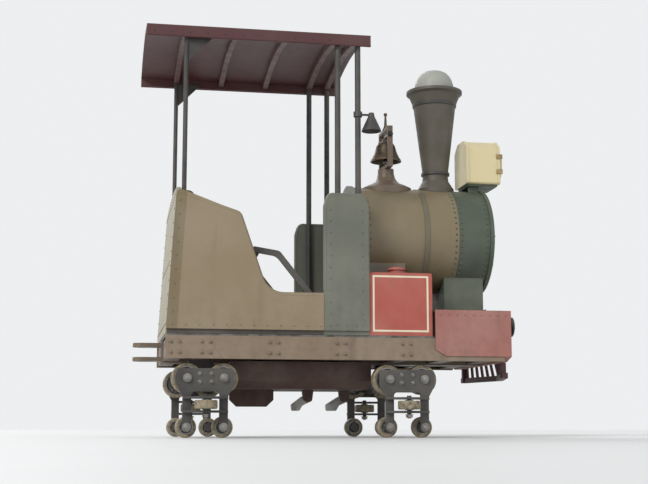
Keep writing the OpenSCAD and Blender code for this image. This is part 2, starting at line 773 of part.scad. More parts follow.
module roof_posts() {
    gusset = [[0, 0], [gusset_l, 0], [0, -gusset_l]];
    foot_t = 8;
    rear_top = bow_z(rear_post_y + rear_post_d / 2) - 0.3;
    front_top = bow_z(post_y + post_d / 2) - 0.3;
    color(SOOT) both_sides() {
        translate([rear_post_x, rear_post_y, tub_z]) {
            cylinder(d = rear_post_d, h = rear_top - tub_z);
            translate([0, 0, rear_top - tub_z]) plate_xz(gusset, -3, 6);
        }
        for (x = [post_a_x, post_b_x]) translate([x, post_y, tub_z]) {
            cylinder(d = post_d, h = front_top - tub_z);
            translate([0, 0, 0]) cylinder(d = post_d + 3, h = foot_t);
        }
    }
}

// Lap bar: turned about its pivot by lap_open
module at_lap_pivot() {
    translate([lap_x, 0, lap_z]) rotate([0, lap_open, 0]) children();
}

module lap_bar() {
    path = [[0, 0], lap_knee, lap_bar];
    w = lap_d / 2;
    n0 = normal(path[0], path[1]) * w;
    n1 = normal(path[1], path[2]) * w;
    bend = (n0 + n1) / (1 + n0 * n1 / (w * w));
    tip = 14;
    arm = [flat_r(path[0] + n0, 0), flat_r(path[1] + bend, 60), flat_r(path[2] + n1, tip),
           flat_r(path[2] - n1, tip), flat_r(path[1] - bend, 30), flat_r(path[0] - n0, 0)];
    color(SOOT) at_lap_pivot() difference() {
        union() {
            both_sides() {
                plate_xz(rounded(arm, 8), lap_y - lap_arm_t / 2, lap_arm_t);
                rod_y(0, 0, lap_y - lap_hub_l / 2, lap_y + lap_hub_l / 2, lap_hub_d);
            }
            rod_y(lap_eye[0], lap_eye[1], 4 - lap_y, lap_y - 4, lap_d - 6);
        }
        both_sides() rod_y(0, 0, lap_y - lap_hub_l, lap_y + lap_hub_l, lap_pin_d + 2 * pin_fit);
    }
}

// The padded roll round the lap bar
module lap_pad() {
    color(VINYL) at_lap_pivot() difference() {
        rod_y(lap_eye[0], lap_eye[1], -lap_roll_w / 2, lap_roll_w / 2, lap_roll_d);
        rod_y(lap_eye[0], lap_eye[1], -lap_roll_w, lap_roll_w, lap_d - 6 + 0.6);
    }
}

// Boiler
module boiler() {
    bands = [10, (bell_x + bell_foot_r + stack_x - stack_foot_r - band_w) / 2];
    color(BOILER) {
        rod_x(bulkhead_x, smokebox_x, 0, boiler_z, 2 * boiler_r);
        for (x = bands)
            rod_x(bulkhead_x + x, bulkhead_x + x + band_w, 0, boiler_z, 2 * (boiler_r + band_t));
        translate([bulkhead_x, -firebox_w / 2, tub_z]) cube([firebox_l, firebox_w, boiler_h]);
    }
}

// The dished door's section: r from the boiler's middle, x along it, raised by t
function dish(r, t) =
    [for (k = [0 : 6]) [r * (1 - k / 6), smokebox_l + 10 + t + 26 * (1 - pow(1 - k / 6, 2))]];

module smokebox() {
    hinge_z = 85;
    strap_w = 34;
    strap_t = 5;
    knuckle_d = 26;
    knuckle_y = boiler_r - 28;
    saddle_l = 230;
    saddle_x = smoke_front_x - saddle_l - 40;
    foot_z = deck_z + footplate_t;
    lamp_z = boiler_z + boiler_r;
    door_r = boiler_r - 42;
    color(SMOKE) {
        // shell, front ring and dished door, as one revolve about the boiler's middle
        translate([smokebox_x, 0, boiler_z]) rotate([0, 90, 0]) rotate_extrude($fn = 96)
            polygon(concat([[0, 0], [boiler_r, 0], [boiler_r, smokebox_l - 22],
                            [boiler_r + 9, smokebox_l - 22], [boiler_r + 9, smokebox_l],
                            [door_r + 6, smokebox_l], [door_r + 6, smokebox_l + 10]], dish(door_r, 0)));
        // hinge straps that follow the dish, their knuckles and the pin
        intersection() {
            translate([smokebox_x, 0, boiler_z]) rotate([0, 90, 0]) rotate_extrude($fn = 96)
                polygon(concat([[0, smokebox_l - 1], [door_r + 6, smokebox_l - 1],
                                [door_r + 6, smokebox_l + 10 + strap_t]], dish(door_r, strap_t)));
            for (z = [-hinge_z, hinge_z]) translate([smoke_front_x - 1, -70, boiler_z + z - strap_w / 2])
                cube([60, knuckle_y + 70, strap_w]);
        }
        for (z = [-hinge_z, hinge_z]) translate([smoke_front_x, 0, boiler_z + z - strap_w / 2]) {
            translate([0, door_r - 22, 0]) cube([10 + strap_t, knuckle_y - door_r + 22, strap_w]);
            translate([knuckle_d / 2 - 1, knuckle_y, -5]) cylinder(d = knuckle_d, h = strap_w + 10);
        }
        translate([smoke_front_x + knuckle_d / 2 - 1, knuckle_y, boiler_z - hinge_z - 34])
            cylinder(d = 14, h = 2 * hinge_z + 68);
        // saddle, scooped out for the barrel
        difference() {
            union() {
                translate([saddle_x, -190, foot_z])
                    cube([saddle_l, 380, boiler_z - boiler_r * 0.6 - foot_z]);
                translate([saddle_x - 20, -215, foot_z]) cube([saddle_l + 40, 430, 26]);
            }
            rod_x(saddle_x - 50, smokebox_x, 0, boiler_z, 2 * (boiler_r + 0.3));
        }
        // lamp's shelf and its two legs
        translate([lamp_x0 + 14, -lamp_w / 2 + 20, lamp_z + 24]) cube([lamp_l - 28, lamp_w - 40, 12]);
        both_sides() translate([lamp_x0 + 26, lamp_w / 2 - 62, boiler_z + boiler_r * 0.85])
            cube([60, 14, lamp_z + 30 - boiler_z - boiler_r * 0.85]);
    }
}

lamp_x0 = smoke_front_x - 104;
lamp_z0 = boiler_z + boiler_r + 36.3;

module smoke_stack() {
    foot = boiler_r - 30;
    brim = brim_h;
    flare_r = stack_r + 52;
    top = brim_h + arrestor_h;
    profile = [[0, foot], [stack_foot_r, foot], [stack_foot_r, boiler_r + 12],
               [stack_foot_r - 8, boiler_r + 22], [stack_r + 3, boiler_r + 60], [stack_r, boiler_r + 96],
               [flare_r, brim - 80], [brim_r - 16, brim - 22], [brim_r, brim - 10],
               [brim_r, brim + 6], [arrestor_r + 46, brim + 16]];
    crown = [for (k = [1 : 5]) let (a = 15 * k)
        [arrestor_r * 0.5 + (arrestor_r * 0.5 + 46) * cos(a), brim + 16 + (arrestor_h - 16) * sin(a)]];
    color(SOOT) translate([bulkhead_x + stack_x, 0, boiler_z]) difference() {
        rotate_extrude($fn = 96) polygon(concat(profile, crown, [[0, top]]));
        rod_x(-400, 400, 0, 0, 2 * (boiler_r + 0.3));
    }
}

// Bell and its stand
bell_gap = 12;
arm_t = 16;
arm_w = 30;
bell_shaft_d = 18;

module bell_stand() {
    pivot = bell_pivot_h;
    low = pivot - bell_h - 64;
    arm_y = bell_r + bell_gap;
    foot = bell_foot_r;
    profile = [[0, boiler_r - 50], [foot, boiler_r - 50], [foot, boiler_r + 4], [foot - 30, boiler_r + 20],
               [84, boiler_r + 34], [66, boiler_r + 50], [54, boiler_r + 70], [48, boiler_r + 92],
               [46, low + 4], [0, low + 4]];
    color(FRAME) translate([bulkhead_x + bell_x, 0, boiler_z]) difference() {
        union() {
            rotate_extrude($fn = 96) polygon(profile);
            translate([-arm_w / 2, -arm_y - arm_t, low]) cube([arm_w, 2 * (arm_y + arm_t), 24]);
            both_sides() translate([-arm_w / 2, arm_y, low]) cube([arm_w, arm_t, pivot + 48 - low]);
            translate([-arm_w / 2, -arm_y - arm_t, pivot + 30]) cube([arm_w, 2 * (arm_y + arm_t), 20]);
            translate([0, 0, pivot + 48]) cylinder(r1 = 20, r2 = 9, h = 26);
            translate([0, 0, pivot + 74]) cylinder(r1 = 9, r2 = 5, h = 70);
            translate([0, 0, pivot + 144]) sphere(r = 11);
        }
        rod_x(-400, 400, 0, 0, 2 * (boiler_r + 0.3));
        rod_y(0, pivot, -arm_y - arm_t - 1, arm_y + arm_t + 1, bell_shaft_d + 2 * pin_fit);
    }
}

module bell() {
    r = bell_r;
    h = bell_h;
    wall = 8;
    outer = [[r, -h], [r * 0.97, -h * 0.93], [r * 0.86, -h * 0.80], [r * 0.76, -h * 0.66], [r * 0.69, -h * 0.52],
             [r * 0.64, -h * 0.38], [r * 0.59, -h * 0.26], [r * 0.50, -h * 0.16], [r * 0.36, -h * 0.10],
             [0, -h * 0.08]];
    inner = [for (p = outer) [max(0, p[0] - wall), p[1] - (p[0] < r * 0.5 ? wall : 0)]];
    reach = r + bell_gap + arm_t;
    drop = 14;
    color(BRASS) translate([bulkhead_x + bell_x, 0, boiler_z + bell_pivot_h]) {
        translate([0, 0, -drop]) rotate_extrude($fn = 96)
            polygon(concat(outer, [for (i = [len(inner) - 1 : -1 : 0]) inner[i]]));
        rod_y(0, 0, -reach, reach, bell_shaft_d);
        translate([0, 0, -drop - h * 0.14]) cylinder(r = 16, h = drop + h * 0.14);
    }
}

// Headlamp
function lamp_outline(t) =
    let (half = lamp_w / 2, z1 = lamp_z0 + lamp_h)
    [[-half - t, lamp_z0, 14], [half + t, lamp_z0, 14], [half + t, z1 - 46 + t / 2, 20],
     [half - 62 + t / 3, z1 + t, 30], [62 - half - t / 3, z1 + t, 30], [-half - t, z1 - 46 + t / 2, 20]];

module headlamp() {
    x1 = lamp_x0 + lamp_l;
    rim_t = 4;
    rim_w = 15;
    lens_z = lamp_z0 + lamp_h / 2 - 12;
    color(BRASS) difference() {
        union() {
            plate_yz(rounded(lamp_outline(0)), lamp_x0, lamp_l);
            for (x = [lamp_x0, x1 - rim_w]) plate_yz(rounded(lamp_outline(rim_t)), x, rim_w);
            rod_x(x1 - 1, x1 + 18, 0, lens_z, 2 * lens_r + 24);
        }
        rod_x(x1 - 24, x1 + 30, 0, lens_z, 2 * lens_r);
    }
}

module headlamp_lens() {
    x1 = lamp_x0 + lamp_l;
    lens_z = lamp_z0 + lamp_h / 2 - 12;
    color(GLASS) translate([x1 - 23.7, 0, lens_z]) rotate([0, 90, 0]) rotate_extrude($fn = 96)
        polygon(concat([[0, 0], [lens_r - 0.3, 0], [lens_r - 0.3, 24]],
                       [for (k = [1 : 5]) [(lens_r - 0.3) * (1 - k / 5), 24 + 12 * (1 - pow(1 - k / 5, 2))]]));
}

// A small lantern with a conical shade, on the right-hand front post
lantern_z = tub_z + lantern_h;
shade_x = post_b_x + post_d / 2 + shade_d / 2 + 6;
shade_wall = 4;

module post_lantern() {
    z = lantern_z;
    y = -post_y;
    x = shade_x;
    rim = shade_d / 2;
    color(SHEET) {
        difference() {
            translate([post_b_x, y, z - 14]) cylinder(d = post_d + 16, h = 28);
            translate([post_b_x, y, z - 20]) cylinder(d = post_d + 0.6, h = 40);
        }
        rod_x(post_b_x + post_d / 2 + 2, x, y, z, 12);
        translate([x, y, z - 92]) rotate_extrude($fn = 64)
            polygon([[rim - shade_wall, 0], [rim, 0], [rim, 5], [18, 84], [14, 104], [0, 108], [0, 82],
                     [18 - shade_wall, 82], [rim - shade_wall, 4]]);
    }
}

module lantern_bulb() {
    color(GLASS) translate([shade_x, -post_y, lantern_z - 92]) rotate_extrude($fn = 64)
        polygon([[0, 30], [7, 32], [12, 38], [13, 45], [11, 53], [7, 60], [7, 81.7], [0, 81.7]]);
}

// Side tanks
module side_tanks() {
    y1 = half_w - 18;
    y0 = y1 - tank_w;
    outline = [[y0, tub_z + 0.3, 0], [y1, tub_z + 0.3, 0], [y1, tub_z + tank_h, 32],
               [y0, tub_z + tank_h, 12]];
    color(RED) both_sides() plate_yz(rounded(outline), bulkhead_x + 0.6, tank_l);
}

// Front end
module front_deck() {
    x1 = beam_x - beam_t;
    deck_wall = 14;
    color(FRAME) {
        difference() {
            translate([deck_x, -half_w + sill_w, tub_z])
                cube([x1 - deck_x, body_w - 2 * sill_w, deck_h + 1]);
            translate([deck_x + deck_wall, -half_w + sill_w + deck_wall, tub_z - 1])
                cube([x1 - deck_x - 2 * deck_wall, body_w - 2 * sill_w - 2 * deck_wall, deck_h + 1]);
        }
        translate([deck_x, -half_w, deck_z]) cube([x1 - deck_x, body_w, footplate_t]);
    }
}

module front_apron() {
    top = deck_z + footplate_t;
    low = sill_z + 25;
    outline = [[deck_x + 4, low + 34], [deck_x + 60, low], [beam_x, low], [beam_x, top], [deck_x + 4, top]];
    wide = half_w + valance_t;
    color(APRON) {
        both_sides() plate_xz(outline, half_w, valance_t);
        plate_yz([[-wide, low], [-wide + 90, sill_z], [wide - 90, sill_z], [wide, low], [wide, top],
                  [-wide, top]], beam_x - beam_t, beam_t);
    }
}

module buffers() {
    z = deck_z - 57;
    color(SOOT) both_sides() translate([beam_x, buffer_pitch / 2, z]) rotate([0, 90, 0])
        rotate_extrude($fn = 96) polygon([[0, 0], [buffer_d / 2 - 2, 0], [buffer_d / 2 - 2, 10], [40, 14],
            [36, 48], [24, 48], [24, buffer_l - 26], [buffer_d / 2 - 4, buffer_l - 22],
            [buffer_d / 2, buffer_l - 16], [buffer_d / 2, buffer_l - 10], [30, buffer_l - 2], [0, buffer_l]]);
}

module pilot() {
    low = rail_z + pilot_clear;
    bar_t = 30;
    high = low + 205;
    half = pilot_w / 2;
    back = beam_x + 20;
    tip_top = beam_x + 62;
    wide = 34;
    n = floor((half - 20) / slat_pitch);
    color(ROOF) {
        // top plate on the beam's face, and the V of the lower rail
        translate([0, 0, high - 14]) linear_extrude(28)
            polygon([[beam_x, -half - 20], [back - 6, -half - 20], [tip_top, 0], [back - 6, half + 20],
                     [beam_x, half + 20]]);
        translate([0, 0, low]) linear_extrude(bar_t)
            polygon([[back, -half], [tip_x, 0], [back, half], [back - wide, half],
                     [tip_x - wide - 8, 0], [back - wide, -half]]);
        // legs from the lower rail up to the beam
        both_sides() translate([back - wide, half - 40, low + 1]) cube([30, 22, sill_z - low - 1]);
        for (i = [-n : n]) let (y = i * slat_pitch, s = 1 - abs(y) / half)
            strut([back - 17 + (tip_x - 4 - back) * s, y, low + 12],
                  [beam_x + 2 + (tip_top - beam_x - 8) * s, y, high], slat_d);
    }
}

chassis_frame();
centre_spine();
rear_axle();
belly_pan();
floor_plate();
side_panel(1);  // side_panel_left
side_panel(-1);  // side_panel_right
seat_shell();
seat_cushion();
seat_back();
cab_sheets();
front_bulkhead();
roof_sheet();
roof_bows();
roof_posts();
boiler();
smokebox();
smoke_stack();
bell_stand();
headlamp();
headlamp_lens();
side_tanks();
front_deck();
front_apron();
buffers();
pilot();
post_lantern();
lantern_bulb();
front_axle();
lap_bar();
lap_pad();
bell();
chain_dog();
rollback_dog();
for (c = CARRIERS) {
    carrier(c[1], c[2]);
    for (w = WHEELS) wheel(c, w);
}
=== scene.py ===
"""Looks of a mine-train coaster's lead car, dressed as a small steam locomotive.

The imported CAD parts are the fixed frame. Each sub-assembly below dresses its parts with
procedural finishes and adds the rivets, nuts, beads, covers and upholstery that sit on them.
"""

import logging
import math
from collections.abc import Iterator, Sequence
from contextlib import contextmanager
from dataclasses import dataclass
from enum import Enum
from itertools import pairwise
from typing import ClassVar

import bpy
from mathutils import Matrix, Vector

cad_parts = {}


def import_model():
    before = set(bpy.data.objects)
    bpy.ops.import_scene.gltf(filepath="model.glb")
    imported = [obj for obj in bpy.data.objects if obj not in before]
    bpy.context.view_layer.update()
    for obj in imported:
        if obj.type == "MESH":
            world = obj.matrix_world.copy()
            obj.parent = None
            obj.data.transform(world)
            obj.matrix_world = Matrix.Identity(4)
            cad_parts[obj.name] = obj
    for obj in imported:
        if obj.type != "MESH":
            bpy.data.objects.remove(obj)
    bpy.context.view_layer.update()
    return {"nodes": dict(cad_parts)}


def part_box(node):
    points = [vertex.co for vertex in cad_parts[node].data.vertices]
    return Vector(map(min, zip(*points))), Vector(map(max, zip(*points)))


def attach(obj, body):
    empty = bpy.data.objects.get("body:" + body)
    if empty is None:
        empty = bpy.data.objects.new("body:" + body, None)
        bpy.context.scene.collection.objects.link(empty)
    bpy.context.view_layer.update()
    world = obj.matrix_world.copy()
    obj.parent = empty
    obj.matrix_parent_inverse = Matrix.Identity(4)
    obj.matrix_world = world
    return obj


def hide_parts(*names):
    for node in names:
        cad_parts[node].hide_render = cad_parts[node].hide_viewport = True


LOG = logging.getLogger("lead_car")

# Modelling: the radius of a turned tip, the distance at which points merge, the angle up to
# which edges are shaded smooth, and the flats of a rounded edge
POINT = 1e-6
MERGE = 1e-5
SMOOTH = math.radians(32)
BEVEL_STEPS = 2

# On the CAD parts: how far the barrel's bands stand out, how far in the sills' own paint reaches
# before the painted shade between them begins, and how far down from its top the stack is pale
BAND_RISE = 0.005
SILL_REACH = 0.041
PALE_H = 0.118

Colour = tuple[float, float, float]
Stations = Sequence[tuple[float, float]]
Piece = bpy.types.Object
Socket = bpy.types.NodeSocket
Value = Socket | Colour | float


class Axis(Enum):
    """The way that a turned piece or a nut points."""

    X = (1, 0, 0)
    Y = (0, 1, 0)
    Z = (0, 0, 1)
    BACK = (-1, 0, 0)
    RIGHT = (0, -1, 0)
    DOWN = (0, 0, -1)

    def turn(self) -> Matrix:
        """Return the turn that takes +Z to this axis."""
        return Vector((0, 0, 1)).rotation_difference(Vector(self.value)).to_matrix().to_4x4()

    def flipped(self) -> "Axis":
        """Return the opposite way."""
        return Axis(tuple(-part for part in self.value))


class Side(Enum):
    """The two sides of the car."""

    LEFT = 1
    RIGHT = -1

    @property
    def out(self) -> Axis:
        """Return the axis that points away from the car on this side."""
        return Axis.Y if self is Side.LEFT else Axis.RIGHT

    @property
    def letter(self) -> str:
        """Return the letter that the nodes' names use."""
        return "l" if self is Side.LEFT else "r"


# Modelling


def placed(at: Sequence[float], axis: Axis) -> Matrix:
    """Return the place at a point whose +Z runs along an axis."""
    return Matrix.Translation(at) @ axis.turn()


def deselect() -> None:
    """Deselect every object, in object mode."""
    if bpy.context.object is not None and bpy.context.object.mode != "OBJECT":
        bpy.ops.object.mode_set(mode="OBJECT")
    bpy.ops.object.select_all(action="DESELECT")


def pick(piece: Piece) -> None:
    """Make a piece the only selected one and the active one.

    Args:
        piece: The object to pick.
    """
    deselect()
    piece.select_set(True)
    bpy.context.view_layer.objects.active = piece


@contextmanager
def editing(piece: Piece) -> Iterator[None]:
    """Open a piece in edit mode with all of it selected, and close it again.

    Args:
        piece: The mesh object to edit.

    Yields:
        Nothing, while the piece is open.
    """
    pick(piece)
    bpy.ops.object.mode_set(mode="EDIT")
    bpy.ops.mesh.select_all(action="SELECT")
    yield
    bpy.ops.object.mode_set(mode="OBJECT")


def weld() -> None:
    """Merge the points that meet in the open piece, and turn its faces outward."""
    bpy.ops.mesh.remove_doubles(threshold=MERGE)
    bpy.ops.mesh.normals_make_consistent(inside=False)


def settle(piece: Piece, smooth: bool = True) -> Piece:
    """Put a piece's place into its mesh and shade it.

    Args:
        piece: The mesh object to finish.
        smooth: Whether its gentle edges are shaded smooth.

    Returns:
        The same object, with its own place at the origin.
    """
    pick(piece)
    bpy.ops.object.transform_apply(location=True, rotation=True, scale=True)
    if smooth:
        bpy.ops.object.shade_smooth_by_angle(angle=SMOOTH)
    return piece


def named(piece: Piece, name: str) -> Piece:
    """Give a piece and its mesh a name.

    Args:
        piece: The object to name.
        name: The name.

    Returns:
        The same object.
    """
    piece.name = name
    piece.data.name = name
    return piece


def turned(name: str, stations: Stations, at: Sequence[float] = (0, 0, 0), axis: Axis = Axis.Z,
           segments: int = 48) -> Piece:
    """Turn a piece on a lathe: a ring is extruded and resized from station to station.

    Args:
        name: The piece's name.
        stations: Radius and height of each station, in metres along the axis.
        at: The place of height 0.
        axis: The way that heights count.
        segments: How many sides the ring has.

    Returns:
        The turned piece.
    """
    deselect()
    first = max(stations[0][0], POINT)
    bpy.ops.mesh.primitive_circle_add(vertices=segments, radius=first, location=(0, 0, 0))
    piece = named(bpy.context.object, name)
    with editing(piece):
        bpy.ops.transform.translate(value=(0, 0, stations[0][1]))
        for (ra, ha), (rb, hb) in pairwise(stations):
            bpy.ops.mesh.extrude_edges_move(TRANSFORM_OT_translate={"value": (0, 0, hb - ha)})
            scale = max(rb, POINT) / max(ra, POINT)
            bpy.ops.transform.resize(value=(scale, scale, 1), center_override=(0, 0, hb))
        bpy.ops.mesh.select_all(action="SELECT")
        weld()
    piece.matrix_world = placed(at, axis)
    return settle(piece)


def block(name: str, low: Sequence[float], high: Sequence[float], bevel: float) -> Piece:
    """Make a block with rounded edges.

    Args:
        name: The piece's name.
        low: Its lowest corner.
        high: Its highest corner.
        bevel: The radius of its edges.

    Returns:
        The block.
    """
    deselect()
    low, high = Vector(low), Vector(high)
    bpy.ops.mesh.primitive_cube_add(size=1, location=(low + high) / 2)
    piece = named(bpy.context.object, name)
    piece.scale = high - low
    settle(piece, smooth=False)
    with editing(piece):
        bpy.ops.mesh.bevel(offset=bevel, segments=BEVEL_STEPS, affect="EDGES")
    return settle(piece)


def tube(name: str, points: Sequence[Sequence[float]], radius: float, closed: bool = False,
         sides: int = 3) -> Piece:
    """Make a round bar along a line of points.

    Args:
        name: The piece's name.
        points: The points of its middle line.
        radius: Its radius.
        closed: Whether it runs back to its first point.
        sides: The bevel resolution of its section.

    Returns:
        The bar as a mesh.
    """
    deselect()
    bpy.ops.curve.primitive_bezier_curve_add(location=(0, 0, 0))
    piece = named(bpy.context.object, name)
    curve = piece.data
    curve.splines.clear()
    line = curve.splines.new("POLY")
    line.points.add(len(points) - 1)
    for spot, point in zip(line.points, points, strict=True):
        spot.co = (*point, 1)
    line.use_cyclic_u = closed
    curve.bevel_depth = radius
    curve.bevel_resolution = sides
    curve.use_fill_caps = not closed
    bpy.ops.object.convert(target="MESH")
    piece = bpy.context.object
    with editing(piece):
        weld()
    return settle(named(piece, name))


def joined(name: str, pieces: Sequence[Piece]) -> Piece:
    """Join finished pieces that are one part.

    Args:
        name: The joined piece's name.
        pieces: The pieces to join.

    Returns:
        The joined piece.
    """
    pick(pieces[0])
    for piece in pieces:
        piece.select_set(True)
    bpy.ops.object.join()
    return settle(named(bpy.context.object, name))


def scattered(name: str, pattern: Piece, places: Sequence[Matrix]) -> Piece:
    """Copy a small piece to many places, join the copies and drop the pattern.

    Args:
        name: The joined piece's name.
        pattern: A finished piece about the origin.
        places: A matrix for each copy.

    Returns:
        One piece with all the copies.
    """
    copies = []
    for place in places:
        copy = pattern.copy()
        copy.data = pattern.data.copy()
        copy.matrix_world = place
        bpy.context.scene.collection.objects.link(copy)
        copies.append(copy)
    made = joined(name, copies)
    bpy.data.objects.remove(pattern)
    with editing(made):
        bpy.ops.mesh.normals_make_consistent(inside=False)
    return settle(made)


def modified(piece: Piece, kind: str, **settings: object) -> None:
    """Add a modifier to a piece and apply it.

    Args:
        piece: The mesh object.
        kind: The modifier's type.
        settings: The modifier's properties.
    """
    pick(piece)
    bpy.ops.object.modifier_add(type=kind)
    made = piece.modifiers[-1]
    for key, value in settings.items():
        setattr(made, key, value)
    bpy.ops.object.modifier_apply(modifier=made.name)


def extent(piece: Piece) -> tuple[Vector, Vector]:
    """Return the lowest and the highest corner of a piece's mesh."""
    ways = list(zip(*(v.co for v in piece.data.vertices), strict=True))
    return Vector([min(way) for way in ways]), Vector([max(way) for way in ways])


def mirrored(stations: Stations) -> list[tuple[float, float]]:
    """Return stations followed by their mirror image in height 0."""
    return [*stations, *((radius, -height) for radius, height in reversed(stations))]


def rivet(radius: float = 0.0055) -> Piece:
    """Model one domed rivet head about the origin, its foot just below z = 0.

    Args:
        radius: The head's radius.

    Returns:
        The head.
    """
    dome = [(radius, -0.3 * radius), (radius, 0.15 * radius), (0.86 * radius, 0.42 * radius),
            (0.5 * radius, 0.66 * radius), (0, 0.75 * radius)]
    return turned("rivet", dome, segments=10)


def hex_nut(across: float, height: float) -> Piece:
    """Model a nut on its washer with the bolt's end in it, about the origin.

    Args:
        across: The nut's size across its corners.
        height: The nut's height.

    Returns:
        The nut.
    """
    r = across / 2
    washer = turned("washer", [(1.28 * r, -0.001), (1.28 * r, 0.0018), (0.6 * r, 0.0018)], segments=18)
    stations = [(r, 0.0016), (r, height - 0.0016), (0.86 * r, height), (0.52 * r, height)]
    nut = turned("nut", stations, segments=6)
    end = turned("end", [(0.52 * r, 0.002), (0.52 * r, height + 0.003), (0.42 * r, height + 0.0045),
                         (0, height + 0.0045)], segments=14)
    return joined("hex_nut", [washer, nut, end])


def row(start: Sequence[float], end: Sequence[float], count: int, axis: Axis) -> list[Matrix]:
    """Space places evenly along a line.

    Args:
        start: The first place.
        end: The last place.
        count: How many places.
        axis: The way that each copy points.

    Returns:
        A matrix for each place.
    """
    a, b = Vector(start), Vector(end)
    return [placed(a.lerp(b, i / (count - 1)), axis) for i in range(count)]


def ring(centre: Sequence[float], radius: float, count: int, axis: Axis, start: float = 0,
         sweep: float = math.tau) -> list[Matrix]:
    """Space places round a circle, each copy pointing along the circle's axis.

    Args:
        centre: The circle's middle.
        radius: The circle's radius.
        count: How many places.
        axis: The circle's axis.
        start: The first place's angle.
        sweep: The angle that the places fill.

    Returns:
        A matrix for each place.
    """
    base = placed(centre, axis)
    step = sweep / count
    return [base @ Matrix.Rotation(start + i * step, 4, "Z") @ Matrix.Translation((radius, 0, 0))
            for i in range(count)]


def girth(centre: Sequence[float], radius: float, count: int, axis: Axis, start: float = 0,
          sweep: float = math.tau) -> list[Matrix]:
    """Space places round a circle, each copy pointing away from the circle's axis."""
    out = Matrix.Rotation(math.pi / 2, 4, "Y")
    return [place @ out for place in ring(centre, radius, count, axis, start, sweep)]


def rounded(corners: Sequence[tuple[float, float, float]], steps: int = 8) -> list[tuple[float, float]]:
    """Round the inner corners of an open outline.

    Args:
        corners: Two coordinates and a radius for each corner.
        steps: How many chords each round has.

    Returns:
        The outline's points.
    """
    points = [Vector(corners[0][:2])]
    for a, b, c in zip(corners, corners[1:], corners[2:], strict=False):
        here, radius = Vector(b[:2]), b[2]
        u = (Vector(a[:2]) - here).normalized()
        w = (Vector(c[:2]) - here).normalized()
        half = u.angle(w) / 2
        middle = here + (u + w).normalized() * radius / math.sin(half)
        first = here + u * radius / math.tan(half) - middle
        last = here + w * radius / math.tan(half) - middle
        angle = first.angle_signed(last)
        points += [middle + Matrix.Rotation(-angle * k / steps, 2) @ first for k in range(steps + 1)]
    points.append(Vector(corners[-1][:2]))
    return [tuple(p) for p in points]


def inset(points: Sequence[tuple[float, float]], by: float) -> list[tuple[float, float]]:
    """Move an open outline to the right of its own run.

    Args:
        points: The outline's points.
        by: How far to move it.

    Returns:
        The moved points.
    """
    moved = []
    for k, point in enumerate(points):
        run = Vector(points[min(k + 1, len(points) - 1)]) - Vector(points[max(k - 1, 0)])
        run.normalize()
        moved.append((point[0] + run.y * by, point[1] - run.x * by))
    return moved


# Finishes


